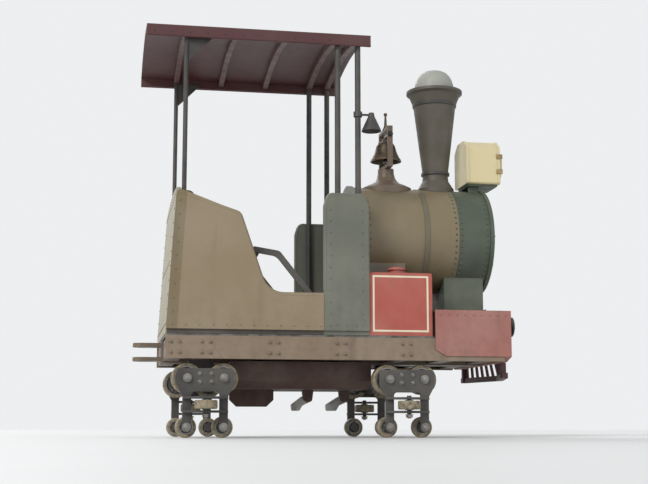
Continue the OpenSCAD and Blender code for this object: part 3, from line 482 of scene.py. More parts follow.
class Graph:
    """One material's nodes, ending in a principled shader."""

    def __init__(self, name: str) -> None:
        """Start a material.

        Args:
            name: The material's name.
        """
        self.material = bpy.data.materials.new(name)
        self.material.use_nodes = True
        self.tree = self.material.node_tree
        self.shader = self.tree.nodes["Principled BSDF"]
        self.place = self.node("ShaderNodeTexCoord").outputs["Object"]

    def node(self, kind: str, **settings: object) -> bpy.types.Node:
        """Add a node.

        Args:
            kind: The node's type.
            settings: Its properties.

        Returns:
            The node.
        """
        made = self.tree.nodes.new(kind)
        for key, value in settings.items():
            setattr(made, key, value)
        return made

    def feed(self, socket: Socket, value: Value | None) -> None:
        """Link a socket to another one, or set its number or colour.

        Args:
            socket: The input.
            value: Another node's output, a number or a colour, or nothing to leave it alone.
        """
        if isinstance(value, Socket):
            self.tree.links.new(value, socket)
        elif isinstance(value, tuple) and len(value) == 3 and len(socket.default_value) == 4:
            socket.default_value = (*value, 1)
        elif value is not None:
            socket.default_value = value

    def wired(self, kind: str, output: str | int, inputs: dict[str | int, Value | None],
              **settings: object) -> Socket:
        """Add a node and feed it.

        Args:
            kind: The node's type.
            output: The output to hand back.
            inputs: What goes into its inputs.
            settings: Its properties.

        Returns:
            The output.
        """
        made = self.node(kind, **settings)
        for key, value in inputs.items():
            self.feed(made.inputs[key], value)
        return made.outputs[output]

    def scaled(self, scale: Sequence[float]) -> Socket:
        """Return the object's coordinates, scaled."""
        inputs = {"Vector": self.place, "Scale": tuple(1 / s for s in scale)}
        return self.wired("ShaderNodeMapping", "Vector", inputs, vector_type="TEXTURE")

    def noise(self, scale: float, detail: float, rough: float = 0.55,
              place: Socket | None = None) -> Socket:
        """Return a noise's value from 0 to 1."""
        inputs = {"Vector": place or self.place, "Scale": scale, "Detail": detail, "Roughness": rough}
        return self.wired("ShaderNodeTexNoise", "Fac", inputs)

    def cells(self, scale: float) -> Socket:
        """Return a cell pattern's distance."""
        return self.wired("ShaderNodeTexVoronoi", "Distance", {"Vector": self.place, "Scale": scale})

    def maths(self, operation: str, a: Value, b: Value = 0.0, clamp: bool = False) -> Socket:
        """Return the result of one sum."""
        return self.wired("ShaderNodeMath", 0, {0: a, 1: b}, operation=operation, use_clamp=clamp)

    def times(self, a: Value, b: Value) -> Socket:
        """Return a product."""
        return self.maths("MULTIPLY", a, b)

    def minus(self, a: Value, b: Value) -> Socket:
        """Return a difference."""
        return self.maths("SUBTRACT", a, b)

    def unsigned(self, a: Value) -> Socket:
        """Return a value without its sign."""
        return self.maths("ABSOLUTE", a)

    def step(self, value: Value, low: float, high: float, a: float = 0, b: float = 1) -> Socket:
        """Return a value mapped from low..high to a..b, and held there."""
        inputs = {"Value": value, "From Min": low, "From Max": high, "To Min": a, "To Max": b}
        return self.wired("ShaderNodeMapRange", "Result", inputs, interpolation_type="SMOOTHSTEP")

    def above(self, value: Value, line: float, soft: float) -> Socket:
        """Return 1 above a line and 0 below it, with a soft edge."""
        return self.step(value, line - soft, line + soft)

    def below(self, value: Value, line: float, soft: float) -> Socket:
        """Return 1 below a line and 0 above it, with a soft edge."""
        return self.step(value, line - soft, line + soft, 1, 0)

    def mix(self, factor: Value, a: Value, b: Value) -> Socket:
        """Return two colours mixed, through the node's colour sockets 6, 7 and 2."""
        return self.wired("ShaderNodeMix", 2, {0: factor, 6: a, 7: b}, data_type="RGBA")

    def parts(self) -> tuple[Socket, ...]:
        """Return the object's X, Y and Z."""
        x = self.wired("ShaderNodeSeparateXYZ", "X", {0: self.place})
        return tuple(x.node.outputs)

    def facing(self) -> Socket:
        """Return how far the surface faces up: 1 on a level top, -1 on a level underside."""
        normal = self.node("ShaderNodeNewGeometry").outputs["True Normal"]
        return self.wired("ShaderNodeSeparateXYZ", "Z", {0: normal})

    def rounded_normal(self, radius: float) -> Socket:
        """Return a normal that rounds edges by a radius."""
        return self.wired("ShaderNodeBevel", "Normal", {"Radius": radius}, samples=4)

    def edges(self, normal: Socket) -> Socket:
        """Measure how far a rounded normal leaves the true one.

        Args:
            normal: The rounded normal.

        Returns:
            0 on a flat, and more on an edge.
        """
        true = self.node("ShaderNodeNewGeometry").outputs["Normal"]
        dot = self.wired("ShaderNodeVectorMath", "Value", {0: normal, 1: true}, operation="DOT_PRODUCT")
        return self.maths("SUBTRACT", 1.0, dot, clamp=True)

    def bump(self, height: Socket, strength: float, distance: float,
             normal: Socket | None = None) -> Socket:
        """Return a bumped normal."""
        inputs = {"Height": height, "Strength": strength, "Distance": distance, "Normal": normal}
        return self.wired("ShaderNodeBump", "Normal", inputs)

    def surface(self, colour: Value, roughness: Value, normal: Socket | None = None,
                metallic: Value = 0.0, **sockets: float) -> bpy.types.Material:
        """Feed the shader.

        Args:
            colour: Its base colour.
            roughness: Its roughness.
            normal: Its normal, if it isn't the mesh's own.
            metallic: How far it is metal.
            sockets: Its other inputs, with underscores for spaces.

        Returns:
            The material.
        """
        inputs = {"Base Color": colour, "Roughness": roughness, "Metallic": metallic, "Normal": normal}
        inputs |= {key.replace("_", " "): value for key, value in sockets.items()}
        for key, value in inputs.items():
            self.feed(self.shader.inputs[key], value)
        return self.material


@dataclass(frozen=True)
class Finish:
    """What every finish has: its name and its main colour."""

    name: str
    colour: Colour

    def tinted(self, gain: float, lift: float = 0.0) -> Colour:
        """Return the main colour, made lighter or darker."""
        return tuple(min(1, gain * part + lift) for part in self.colour)

    def material(self) -> bpy.types.Material:
        """Build the material, which each kind of finish does in its own way."""
        raise NotImplementedError


@dataclass(frozen=True)
class Paint(Finish):
    """Sprayed paint on sheet metal, with dust, streaks and chipped edges."""

    roughness: float = 0.42
    grime: float = 0.35
    chips: float = 0.5
    edge: float = 0.0022
    fading: float = 0.10
    wear: float = 0.16
    faded: Colour = (0.60, 0.55, 0.47)
    dirt: Colour = (0.045, 0.035, 0.026)
    metal: Colour = (0.20, 0.17, 0.14)

    def coat(self, graph: Graph) -> Value:
        """Return the clean paint's colour; a lined or two-tone paint draws its own."""
        return self.colour

    def material(self) -> bpy.types.Material:
        """Build the material.

        Returns:
            The material.
        """
        g = Graph(self.name)
        normal = g.rounded_normal(self.edge)
        cloud = g.noise(2.3, 5)
        fade = g.mix(g.step(cloud, 0.35, 0.7, 0, self.fading), self.coat(g), self.faded)
        streak = g.noise(1.0, 4, 0.5, g.scaled((13, 13, 1.2)))
        spots = g.noise(17, 7, 0.6)
        _, _, z = g.parts()
        low = g.step(z, 0.25, 0.95, 0.5, 0.0)
        upright = g.step(g.unsigned(g.facing()), 0.5, 0.9, 1.0, 0.15)
        runs = g.times(g.times(g.step(streak, 0.50, 0.80), g.step(cloud, 0.40, 0.64, 0.1, 0.8)), upright)
        dirt = g.maths("ADD", runs, g.times(low, g.step(spots, 0.36, 0.74)), clamp=True)
        dirty = g.mix(g.times(dirt, self.grime), fade, self.dirt)
        chip = g.times(g.step(g.edges(normal), 0.03, 0.20), g.step(g.noise(46, 5), 0.50, 0.58))
        chip = g.times(chip, self.chips)
        colour = g.mix(chip, dirty, self.metal)
        rough = g.step(spots, 0.3, 0.7, self.roughness - 0.07, self.roughness + self.wear)
        peel = g.bump(g.noise(420, 2), 0.05, 0.0006, normal)
        waves = g.bump(g.noise(5.0, 2), 0.10, 0.004, peel)
        return g.surface(colour, rough, waves, g.times(chip, 0.8))


@dataclass(frozen=True)
class LinedPaint(Paint):
    """Paint with a thin line inset from the edges of a side tank's face."""

    line: Colour = (0.78, 0.70, 0.52)
    low: tuple[float, float] = (0, 0)
    high: tuple[float, float] = (1, 1)
    inset: float = 0.026
    width: float = 0.010

    def coat(self, graph: Graph) -> Value:
        """Draw the line at one distance from the face's edges.

        Args:
            graph: The material's nodes.

        Returns:
            The colour.
        """
        x, _, z = graph.parts()
        near = graph.minus(x, self.low[0])
        for gap in (graph.minus(self.high[0], x), graph.minus(z, self.low[1]), graph.minus(self.high[1], z)):
            near = graph.maths("MINIMUM", near, gap)
        off = graph.unsigned(graph.minus(near, self.inset))
        return graph.mix(graph.below(off, self.width / 2, 0.0008), self.colour, self.line)


@dataclass(frozen=True)
class SillPaint(Paint):
    """Paint of the outer sills, with a darker colour painted as shade on what lies between them, under the
    tub.
    """

    # inner: the darker colour of the frame between the sills, painted shade under the tub
    inner: Colour = (0.120, 0.078, 0.055)
    reach: float = 0.48

    def coat(self, graph: Graph) -> Value:
        """Return the two colours split at a distance from the car's middle, the inner one painted shade."""
        _, y, _ = graph.parts()
        return graph.mix(graph.above(graph.unsigned(y), self.reach, 0.002), self.inner, self.colour)


@dataclass(frozen=True)
class CornerPaint(Paint):
    """Paint of the tub's sides, with a strip along the rear edge and a dark band along the foot that is
    painted shadow between the tub and the sill.
    """

    corner: Colour = (0.185, 0.140, 0.070)
    # painted_shadow_line: the dark colour painted along the side's foot as the shadow between the tub and
    # the sill
    painted_shadow_line: Colour = (0.050, 0.036, 0.026)
    foot: tuple[float, float] = (0, 0)
    slope: float = 0.0586
    width: float = 0.055
    # height: how far up the foot the painted shadow line reaches
    height: float = 0.0222

    def coat(self, graph: Graph) -> Value:
        """Draw the strip and the painted shadow line along the foot on the side's colour.

        Args:
            graph: The material's nodes.

        Returns:
            The colour.
        """
        x, _, z = graph.parts()
        up = graph.minus(z, self.foot[1])
        edge = graph.maths("ADD", graph.times(up, self.slope), self.foot[0])
        side = graph.mix(graph.below(graph.minus(x, edge), self.width, 0.001), self.colour, self.corner)
        # The lowest band of the foot is darkened as a painted shadow line under the tub's side
        return graph.mix(graph.below(up, self.height, 0.0006), side, self.painted_shadow_line)


@dataclass(frozen=True)
class CappedPaint(Paint):
    """Paint whose colour changes above one height, as on the stack's spark arrestor."""

    upper: Colour = (0.340, 0.350, 0.310)
    height: float = 2.0

    def coat(self, graph: Graph) -> Value:
        """Return the two colours split at the height."""
        _, _, z = graph.parts()
        return graph.mix(graph.step(z, self.height, self.height + 0.006), self.colour, self.upper)


@dataclass(frozen=True)
class BandedPaint(Paint):
    """Paint on a barrel whose raised bands have their own colour."""

    band: Colour = (0.14, 0.12, 0.08)
    centre: tuple[float, float] = (0, 1)
    radius: float = 0.3

    def coat(self, graph: Graph) -> Value:
        """Draw the bands, which lie beyond the barrel's radius.

        Args:
            graph: The material's nodes.

        Returns:
            The colour.
        """
        _, y, z = graph.parts()
        dy, dz = graph.minus(y, self.centre[0]), graph.minus(z, self.centre[1])
        r = graph.maths("SQRT", graph.maths("ADD", graph.times(dy, dy), graph.times(dz, dz)))
        return graph.mix(graph.above(r, self.radius + 0.0025, 0.0005), self.colour, self.band)


@dataclass(frozen=True)
class Metal(Finish):
    """Bare or blackened metal with oil, dust and rust."""

    roughness: float = 0.4
    rust: float = 0.3

    def material(self) -> bpy.types.Material:
        """Build the material.

        Returns:
            The material.
        """
        g = Graph(self.name)
        normal = g.rounded_normal(0.0015)
        spots = g.noise(26, 7, 0.6)
        cloud = g.noise(6, 4)
        rust = g.times(g.step(spots, 0.52, 0.66), self.rust)
        tone = g.mix(g.step(cloud, 0.3, 0.7, 0.0, 0.35), self.colour, self.tinted(0.55))
        colour = g.mix(rust, tone, (0.16, 0.075, 0.035))
        rough = g.step(spots, 0.3, 0.7, self.roughness - 0.08, self.roughness + 0.18)
        return g.surface(colour, rough, g.bump(g.noise(240, 3), 0.10, 0.0006, normal), g.minus(1.0, rust))


@dataclass(frozen=True)
class Vinyl(Finish):
    """Grained upholstery vinyl, creased and rubbed on its crowns."""

    def material(self) -> bpy.types.Material:
        """Build the material.

        Returns:
            The material.
        """
        g = Graph(self.name)
        grain = g.cells(520)
        folds = g.noise(13, 5, 0.6)
        worn = g.mix(g.step(g.noise(7, 5), 0.42, 0.72, 0, 0.4), self.colour, self.tinted(1.75, 0.03))
        rough = g.step(folds, 0.3, 0.7, 0.38, 0.58)
        normal = g.bump(grain, 0.16, 0.0007)
        normal = g.bump(folds, 0.22, 0.004, normal)
        return g.surface(worn, rough, normal, Sheen_Weight=0.12, Sheen_Roughness=0.5)


@dataclass(frozen=True)
class Polyurethane(Finish):
    """Cast wheel tread, yellow-brown, with dirt pressed into it."""

    def material(self) -> bpy.types.Material:
        """Build the material.

        Returns:
            The material.
        """
        g = Graph(self.name)
        spots = g.noise(38, 7, 0.65)
        cloud = g.noise(9, 3)
        dirty = g.mix(g.step(spots, 0.40, 0.66, 0.15, 0.8), self.colour, (0.055, 0.045, 0.035))
        colour = g.mix(g.step(cloud, 0.35, 0.7, 0, 0.3), dirty, (0.30, 0.24, 0.16))
        normal = g.bump(spots, 0.22, 0.0012)
        return g.surface(colour, g.step(cloud, 0.3, 0.7, 0.42, 0.62), normal, Subsurface_Weight=0.04)


@dataclass(frozen=True)
class Lens(Finish):
    """Pale, slightly frosted lamp glass."""

    def material(self) -> bpy.types.Material:
        """Build the material.

        Returns:
            The material.
        """
        g = Graph(self.name)
        cloud = g.noise(12, 3)
        colour = g.mix(g.step(cloud, 0.3, 0.7, 0, 0.25), self.colour, (0.70, 0.68, 0.58))
        normal = g.bump(g.noise(90, 2), 0.08, 0.001)
        return g.surface(colour, 0.18, normal, Transmission_Weight=0.15, IOR=1.49, Coat_Weight=0.6)


@dataclass(frozen=True)
class Chequer(Finish):
    """Steel floor plate with raised diamonds, worn bright."""

    pitch: float = 0.028

    def material(self) -> bpy.types.Material:
        """Build the material.

        Returns:
            The material.
        """
        g = Graph(self.name)
        x, y, _ = g.parts()
        turn = math.pi / self.pitch
        a = g.maths("SINE", g.times(g.maths("ADD", x, y), turn))
        b = g.maths("SINE", g.times(g.minus(x, y), turn))
        lump = g.times(g.step(g.unsigned(g.times(a, b)), 0.72, 0.82), g.step(g.facing(), 0.7, 0.8))
        spots = g.noise(18, 6)
        dirty = g.mix(g.step(spots, 0.35, 0.65, 0.1, 0.75), self.colour, (0.05, 0.042, 0.035))
        colour = g.mix(g.times(lump, 0.5), dirty, self.tinted(1.9, 0.04))
        return g.surface(colour, g.step(spots, 0.3, 0.7, 0.38, 0.6), g.bump(lump, 0.7, 0.0015), 0.6)


class Finishes:
    """Every finish of the car, built once and handed out by name."""

    def __init__(self) -> None:
        """Build the materials, with the places of lines and bands from the frame."""
        self.made: dict[str, bpy.types.Material] = {}
        tank_low, tank_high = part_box("side_tanks")
        boiler_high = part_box("boiler")[1]
        stack_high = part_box("smoke_stack")[1].z
        side_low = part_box("side_panel_left")[0]
        frame_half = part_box("chassis_frame")[1].y
        for finish in (
            # frame_paint: the outer sill faces keep the frame's colour; the frame between them is painted
            # darker as shade
            SillPaint("frame_paint", (0.225, 0.160, 0.105), grime=0.5, reach=frame_half - SILL_REACH),
            Paint("brown_paint", (0.150, 0.105, 0.072), grime=0.45),
            Paint("dark_paint", (0.034, 0.031, 0.029), roughness=0.5, grime=0.3, metal=(0.16, 0.14, 0.12)),
            Paint("pan_paint", (0.070, 0.032, 0.022), roughness=0.55, grime=0.4),
            # tub_paint: the dark band along the sides' foot is painted shadow between the tub and the sill
            CornerPaint("tub_paint", (0.254, 0.192, 0.114), roughness=0.46, grime=0.42,
                        foot=(side_low.x, side_low.z)),
            Paint("wall_paint", (0.356, 0.324, 0.232), roughness=0.48, grime=0.42),
            Paint("cab_paint", (0.125, 0.132, 0.102), roughness=0.44, grime=0.35),
            # roof_paint: a maroon darkened past the paint's own colour, partly painted shade of the roof's
            # underside; the pilot and the roof's drip beads wear it too
            Paint("roof_paint", (0.072, 0.018, 0.019), roughness=0.55, grime=0.25, fading=0.03,
                  wear=-0.02),
            Paint("bow_paint", (0.110, 0.052, 0.048), roughness=0.5, grime=0.4),
            Paint("smokebox_paint", (0.062, 0.080, 0.055), roughness=0.5, grime=0.35),
            Paint("apron_paint", (0.335, 0.130, 0.105), roughness=0.47, grime=0.45),
            Paint("lamp_paint", (0.670, 0.580, 0.330), roughness=0.36, grime=0.22, chips=0.35),
            BandedPaint("boiler_paint", (0.200, 0.158, 0.088), grime=0.35,
                        centre=(0, boiler_high.z - boiler_high.y), radius=boiler_high.y - BAND_RISE),
            CappedPaint("stack_paint", (0.078, 0.068, 0.050), roughness=0.55, grime=0.3,
                        height=stack_high - PALE_H),
            LinedPaint("red_paint", (0.400, 0.078, 0.055), roughness=0.36, grime=0.3,
                       low=(tank_low.x, tank_low.z), high=(tank_high.x, tank_high.z)),
            Metal("steel", (0.27, 0.26, 0.245), 0.42, 0.4),
            Metal("bolt_steel", (0.27, 0.26, 0.245), 0.42, 0.35),
            Metal("brass", (0.36, 0.27, 0.14), 0.38, 0.35),
            Metal("bronze", (0.150, 0.122, 0.085), 0.48, 0.35),
            Vinyl("vinyl", (0.075, 0.042, 0.030)),
            Vinyl("piping_vinyl", (0.032, 0.022, 0.018)),
            Polyurethane("tread", (0.36, 0.30, 0.19)),
            Lens("lens_glass", (0.93, 0.91, 0.80)),
            Chequer("chequer_plate", (0.20, 0.195, 0.185)),
            Chequer("deck_plate", (0.130, 0.098, 0.072)),
        ):
            self.made[finish.name] = finish.material()

    def coat(self, piece: Piece, name: str) -> None:
        """Give a piece one finish."""
        piece.data.materials.clear()
        piece.data.materials.append(self.made[name])


@dataclass
class Assembly:
    """A sub-assembly: its CAD nodes with their finishes, and the pieces that it adds."""

    coats: ClassVar[dict[str, str]] = {}
    finishes: Finishes
    nodes: dict[str, Piece]

    def dress(self) -> None:
        """Coat the CAD nodes and add the sub-assembly's own pieces."""
        for node, name in self.coats.items():
            self.finishes.coat(self.nodes[node], name)
        self.build()

    def build(self) -> None:
        """Add the sub-assembly's own pieces."""

    def add(self, piece: Piece, finish: str, body: str = "root", slot: str | None = None,
            replaces: str | None = None) -> None:
        """Coat a new piece and set it on its body.

        Args:
            piece: The new piece.
            finish: The finish's name.
            body: The CAD body that it rides on.
            slot: The record's material slot, where it isn't named like the finish; not used.
            replaces: The CAD node that it stands for, if any.
        """
        self.finishes.coat(piece, finish)
        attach(piece, body)
        if replaces:
            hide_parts(replaces)
        LOG.info("%s on %s: %d faces", piece.name, body, len(piece.data.polygons))

    def fasten(self, name: str, pattern: Piece, places: Sequence[Matrix], finish: str,
               body: str = "root", slot: str | None = None) -> None:
        """Add copies of a rivet, nut or clamp as one piece.

        Args:
            name: The piece's name.
            pattern: One copy about the origin.
            places: A matrix for each copy.
            finish: The finish's name.
            body: The CAD body that it rides on.
            slot: The record's material slot, where it isn't named like the finish.
        """
        self.add(scattered(name, pattern, places), finish, body, slot)


# Sub-assemblies


@dataclass
class Chassis(Assembly):
    """The welded frame, its spine, pan and axles, with the bolts along the sills."""

    coats: ClassVar[dict[str, str]] = {
        "chassis_frame": "frame_paint", "centre_spine": "brown_paint", "rear_axle": "dark_paint",
        "front_axle": "dark_paint", "belly_pan": "pan_paint", "floor_plate": "chequer_plate",
        "chain_dog": "steel", "rollback_dog": "steel"}
    cross_x: tuple[float, ...] = (-0.865, -0.705, -0.3483, 0.0083, 0.365)
    bolt_edge: float = 0.032
    bolt_x: float = 0.022

    def build(self) -> None:
        """Bolt the cross members to the sills."""
        low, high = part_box("chassis_frame")
        places = []
        for side in Side:
            y = side.value * high.y
            for x in self.cross_x:
                for z in (low.z + self.bolt_edge, high.z - self.bolt_edge):
                    places += row((x - self.bolt_x, y, z), (x + self.bolt_x, y, z), 2, side.out)
        self.fasten("sill_bolts", hex_nut(0.017, 0.008), places, "frame_paint")


@dataclass
class Tub(Assembly):
    """The tub's sides, rear panel and bench box, with beads and rivets."""

    coats: ClassVar[dict[str, str]] = {
        "side_panel_left": "tub_paint", "side_panel_right": "tub_paint", "seat_shell": "wall_paint"}
    bead: float = 0.0145
    sunk: float = 0.009
    half_sheet: float = 0.0125
    waist_h: float = 0.218
    wing_front_h: float = 0.643
    wing_l: float = 0.338
    wing_slope: float = 0.147
    lean: float = 0.045
    rear_h: float = 0.768
    arch_rise: float = 0.042
    margin: float = 0.030
    foot_row: float = 0.045
    corner_row: tuple[tuple[float, float], ...] = ((0.032, 0.11), (0.065, 0.70))
    rear_rows: tuple[float, ...] = (0.05, 0.39, 0.74)
    rear_margin: float = 0.11
    foot_rivets: int = 12
    corner_rivets: int = 9
    rear_rivets: int = 10
    arch_steps: int = 24

    def build(self) -> None:
        """Roll a bead along each side's top edge and rivet the sides."""
        low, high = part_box("side_panel_left")
        tail, floor = low.x, low.z
        top = high.z - floor
        front = tail + self.lean + self.wing_l
        outline = rounded([(tail + self.lean + 0.010, top - 0.004, 0), (front, self.wing_front_h, 0.045),
                           (front + self.wing_slope, self.waist_h, 0.120),
                           (high.x - 0.012, self.waist_h, 0)])
        places = []
        for side in Side:
            y = side.value * (high.y - self.half_sheet)
            points = [(x, y, floor + h) for x, h in inset(outline, self.sunk)]
            self.add(tube(f"side_bead_{side.letter}", points, self.bead), "tub_paint")
            face, z = side.value * high.y, floor + self.foot_row
            places += row((tail + self.margin, face, z), (high.x - self.margin, face, z),
                          self.foot_rivets, side.out)
            places += row(*((tail + x, face, floor + h) for x, h in self.corner_row),
                          self.corner_rivets, side.out)
        self.rear(floor, high.y - self.half_sheet, places)

    def rear(self, floor: float, reach: float, places: list[Matrix]) -> None:
        """Rivet the rear panel too, and roll a bead over its arched edge.

        Args:
            floor: The tub's foot.
            reach: Half the bead's width across the car.
            places: The sides' rivets.
        """
        low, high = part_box("seat_shell")
        tilt = Matrix.Rotation(math.atan(self.lean / self.rear_h), 4, "Y")
        foot = Matrix.Translation((low.x, 0, floor)) @ tilt
        spots = []
        for y in (self.margin - high.y, high.y - self.margin):
            spots += row((0, y, self.rear_rows[0]), (0, y, self.rear_rows[-1]), self.rear_rivets,
                         Axis.BACK)
        half = high.y - self.rear_margin
        for z in self.rear_rows:
            spots += row((0, -half, z), (0, half, z), self.rear_rivets, Axis.BACK)
        self.fasten("tub_rivets", rivet(), places + [foot @ spot for spot in spots], "tub_paint")
        arch = []
        for k in range(self.arch_steps + 1):
            share = 1 - 2 * k / self.arch_steps
            height = self.rear_h + self.arch_rise * (1 - share * share) - self.sunk
            arch.append(tuple(foot @ Vector((self.half_sheet, reach * share, height))))
        self.add(tube("rear_bead", arch, self.bead), "wall_paint")


@dataclass
class Bench(Assembly):
    """The cushion and the backrest, blown up as cloth and sewn in channels."""

    voxel: float = 0.009
    relax: float = 0.7
    relax_rounds: int = 4
    swell: float = 0.010
    swell_cap: float = 0.015
    pressure: float = 4
    cloth_steps: int = 4
    frames: int = 16
    channels: int = 9
    least_facing: float = 0.15
    groove_w: float = 0.009
    groove_depth: float = 0.011
    crown_depth: float = 0.004
    cord: float = 0.0042
    cord_points: int = 96
    cord_reach: tuple[float, float] = (0.47, 0.46)

    def build(self) -> None:
        """Make both pads and their piping."""
        for node, name, face in (("seat_cushion", "bench_cushion", Axis.Z),
                                 ("seat_back", "bench_back", Axis.X)):
            pad = self.stuffed(node, name)
            self.sew(pad, face)
            self.add(pad, "vinyl", replaces=node)
            self.pipe(pad, face, name)

    def stuffed(self, node: str, name: str) -> Piece:
        """Blow a soft CAD solid up into a cushion.

        Args:
            node: The CAD node to start from.
            name: The cushion's name.

        Returns:
            The cushion, before its seams.
        """
        deselect()
        piece = self.nodes[node].copy()
        piece.data = self.nodes[node].data.copy()
        # The cushion is a new piece, so it drops what marks the copy as a CAD node
        for key in list(piece.keys()):
            del piece[key]
        piece.parent = None
        bpy.context.scene.collection.objects.link(piece)
        named(piece, name)
        with editing(piece):
            weld()
        low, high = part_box(node)
        middle = (low + high) / 2
        shrink = [1 - 2 * self.swell / (high[i] - low[i]) for i in range(3)]
        piece.data.transform(Matrix.Translation(middle) @ Matrix.Diagonal((*shrink, 1))
                             @ Matrix.Translation(-middle))
        modified(piece, "REMESH", mode="VOXEL", voxel_size=self.voxel)
        modified(piece, "SMOOTH", factor=self.relax, iterations=self.relax_rounds)
        self.blow(piece, floor=low.z)
        modified(piece, "SUBSURF", levels=1, render_levels=1)
        return settle(piece)

    def blow(self, piece: Piece, floor: float) -> None:
        """Run the cloth with pressure and keep each point within a cap of its start.

        Args:
            piece: The remeshed pad.
            floor: The height that the pad rests on.
        """
        start = [v.co.copy() for v in piece.data.vertices]
        pick(piece)
        bpy.ops.object.modifier_add(type="CLOTH")
        cloth = piece.modifiers[-1]
        cloth.settings.use_pressure = True
        cloth.settings.uniform_pressure_force = self.pressure
        cloth.settings.effector_weights.gravity = 0
        cloth.settings.quality = self.cloth_steps
        scene = bpy.context.scene
        for frame_number in range(1, self.frames + 1):
            scene.frame_set(frame_number)
        shape = piece.evaluated_get(bpy.context.evaluated_depsgraph_get())
        ends = [v.co.copy() for v in shape.data.vertices]
        piece.modifiers.remove(cloth)
        scene.frame_set(1)
        for vertex, a, b in zip(piece.data.vertices, start, ends, strict=True):
            move = b - a
            if move.length > self.swell_cap:
                move *= self.swell_cap / move.length
            vertex.co = a + move
            vertex.co.z = max(vertex.co.z, floor)

    def sew(self, pad: Piece, face: Axis) -> None:
        """Press the sewn channels into the pad's face.

        Args:
            pad: The pad.
            face: The way that its face looks.
        """
        low, high = extent(pad)
        way = Vector(face.value)
        pitch = (high.y - low.y) / self.channels
        normals = [v.normal.copy() for v in pad.data.vertices]
        for vertex, normal in zip(pad.data.vertices, normals, strict=True):
            looks = max(0.0, normal.dot(way))
            off = abs((vertex.co.y - low.y + pitch / 2) % pitch - pitch / 2)
            inner = min(vertex.co.y - low.y, high.y - vertex.co.y) > pitch / 2
            if inner and looks > self.least_facing:
                groove = math.exp(-((off / self.groove_w) ** 2))
                crown = math.cos(math.pi * min(off / pitch, 0.5)) ** 2
                vertex.co -= way * looks * (self.groove_depth * groove + self.crown_depth * crown)

    def pipe(self, pad: Piece, face: Axis, name: str) -> None:
        """Lay a piping cord round the pad's face.

        Args:
            pad: The pad.
            face: The way that its face looks.
            name: The pad's name.
        """
        low, high = extent(pad)
        middle = (low + high) / 2
        up, along = (0, 2) if face is Axis.X else (2, 0)
        wide, long = self.cord_reach
        points = []
        for k in range(self.cord_points):
            angle = math.tau * k / self.cord_points
            c, s = math.cos(angle), math.sin(angle)
            power = max(abs(c), abs(s))
            spot = middle.copy()
            spot.y += (high.y - low.y) * wide * c / power
            spot[along] += (high[along] - low[along]) * long * s / power
            spot[up] = high[up] if face is Axis.Z else high[up] - 0.01
            found, near, normal, _ = pad.closest_point_on_mesh(spot)
            if found:
                points.append(tuple(near + normal * 0.001))
        piping = tube(f"{name}_piping", points, self.cord, closed=True, sides=2)
        self.add(piping, "piping_vinyl", slot="vinyl")


@dataclass
class Cab(Assembly):
    """The cab's sheets, bulkhead, posts and roof."""

    coats: ClassVar[dict[str, str]] = {
        "cab_sheets": "cab_paint", "front_bulkhead": "cab_paint", "roof_sheet": "roof_paint",
        "roof_bows": "bow_paint", "roof_posts": "dark_paint", "post_lantern": "dark_paint",
        "lantern_bulb": "lens_glass"}
    bow: float = 0.030
    post_pitch: float = 0.113
    rise: float = 0.060
    sheet: float = 0.018
    margin: float = 0.036
    foot_row: float = 0.05
    foot_margin: float = 0.07
    top_gap: float = 0.09
    bead: float = 0.012
    sunk: float = 0.008
    half_sheet: float = 0.010
    fascia_row: float = 0.024
    edge_rivets: int = 11
    foot_rivets: int = 3
    fascia_screws: int = 13
    bow_rivets: int = 19
    bow_margin: float = 0.03
    fascia_margin: float = 0.04
    drip: float = 0.006

    def build(self) -> None:
        """Run a bead along each sheet's edge and rivet the sheets and the roof."""
        low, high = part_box("cab_sheets")
        top = high.z - low.z
        places = []
        for side in Side:
            y = side.value * high.y
            foot = low.z + self.foot_row
            for x in (low.x + self.margin, high.x - self.margin):
                places += row((x, y, foot), (x, y, high.z - self.top_gap), self.edge_rivets, side.out)
            margin = self.foot_margin
            places += row((low.x + margin, y, foot), (high.x - margin, y, foot), self.foot_rivets,
                          side.out)
            outline = rounded([(low.x, 0.235, 0), (low.x, top - 0.070, 0.030), (low.x + 0.022, top, 0.040),
                               (high.x - 0.030, top, 0.030), (high.x, top - 0.060, 0.030),
                               (high.x, 0.352, 0)])
            y = side.value * (high.y - self.half_sheet)
            edge = [(x, y, low.z + h) for x, h in inset(outline, self.sunk)]
            self.add(tube(f"sheet_bead_{side.letter}", edge, self.bead), "cab_paint")
        self.fasten("cab_rivets", rivet(0.005), places, "cab_paint")
        self.roof()

    def roof(self) -> None:
        """Run a drip bead along the roof's edges, screws along its fascias and rivets over its bows."""
        low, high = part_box("roof_sheet")
        bow_low, bow_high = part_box("roof_bows")
        rear, front = bow_low.x + self.bow / 2, bow_high.x - self.bow / 2
        middle = front - self.post_pitch
        half = high.y
        radius = (half * half + self.rise * self.rise) / (2 * self.rise) + self.sheet
        arc = math.asin((half - self.bow_margin) / radius)
        places = []
        for x in (rear, rear + (middle - rear) / 3, rear + (middle - rear) * 2 / 3, middle, front):
            places += girth((x, 0, high.z - radius), radius, self.bow_rivets, Axis.X, math.pi - arc,
                            2 * arc * self.bow_rivets / (self.bow_rivets - 1))
        for side in Side:
            y = side.value * high.y
            z, margin = low.z + self.fascia_row, self.fascia_margin
            places += row((low.x + margin, y, z), (high.x - margin, y, z), self.fascia_screws, side.out)
            bead = [(low.x, y * 0.994, low.z + 0.002), (high.x, y * 0.994, low.z + 0.002)]
            self.add(tube(f"roof_bead_{side.letter}", bead, self.drip), "roof_paint")
        self.fasten("fascia_screws", rivet(0.0048), places, "dark_paint", slot="roof_paint")


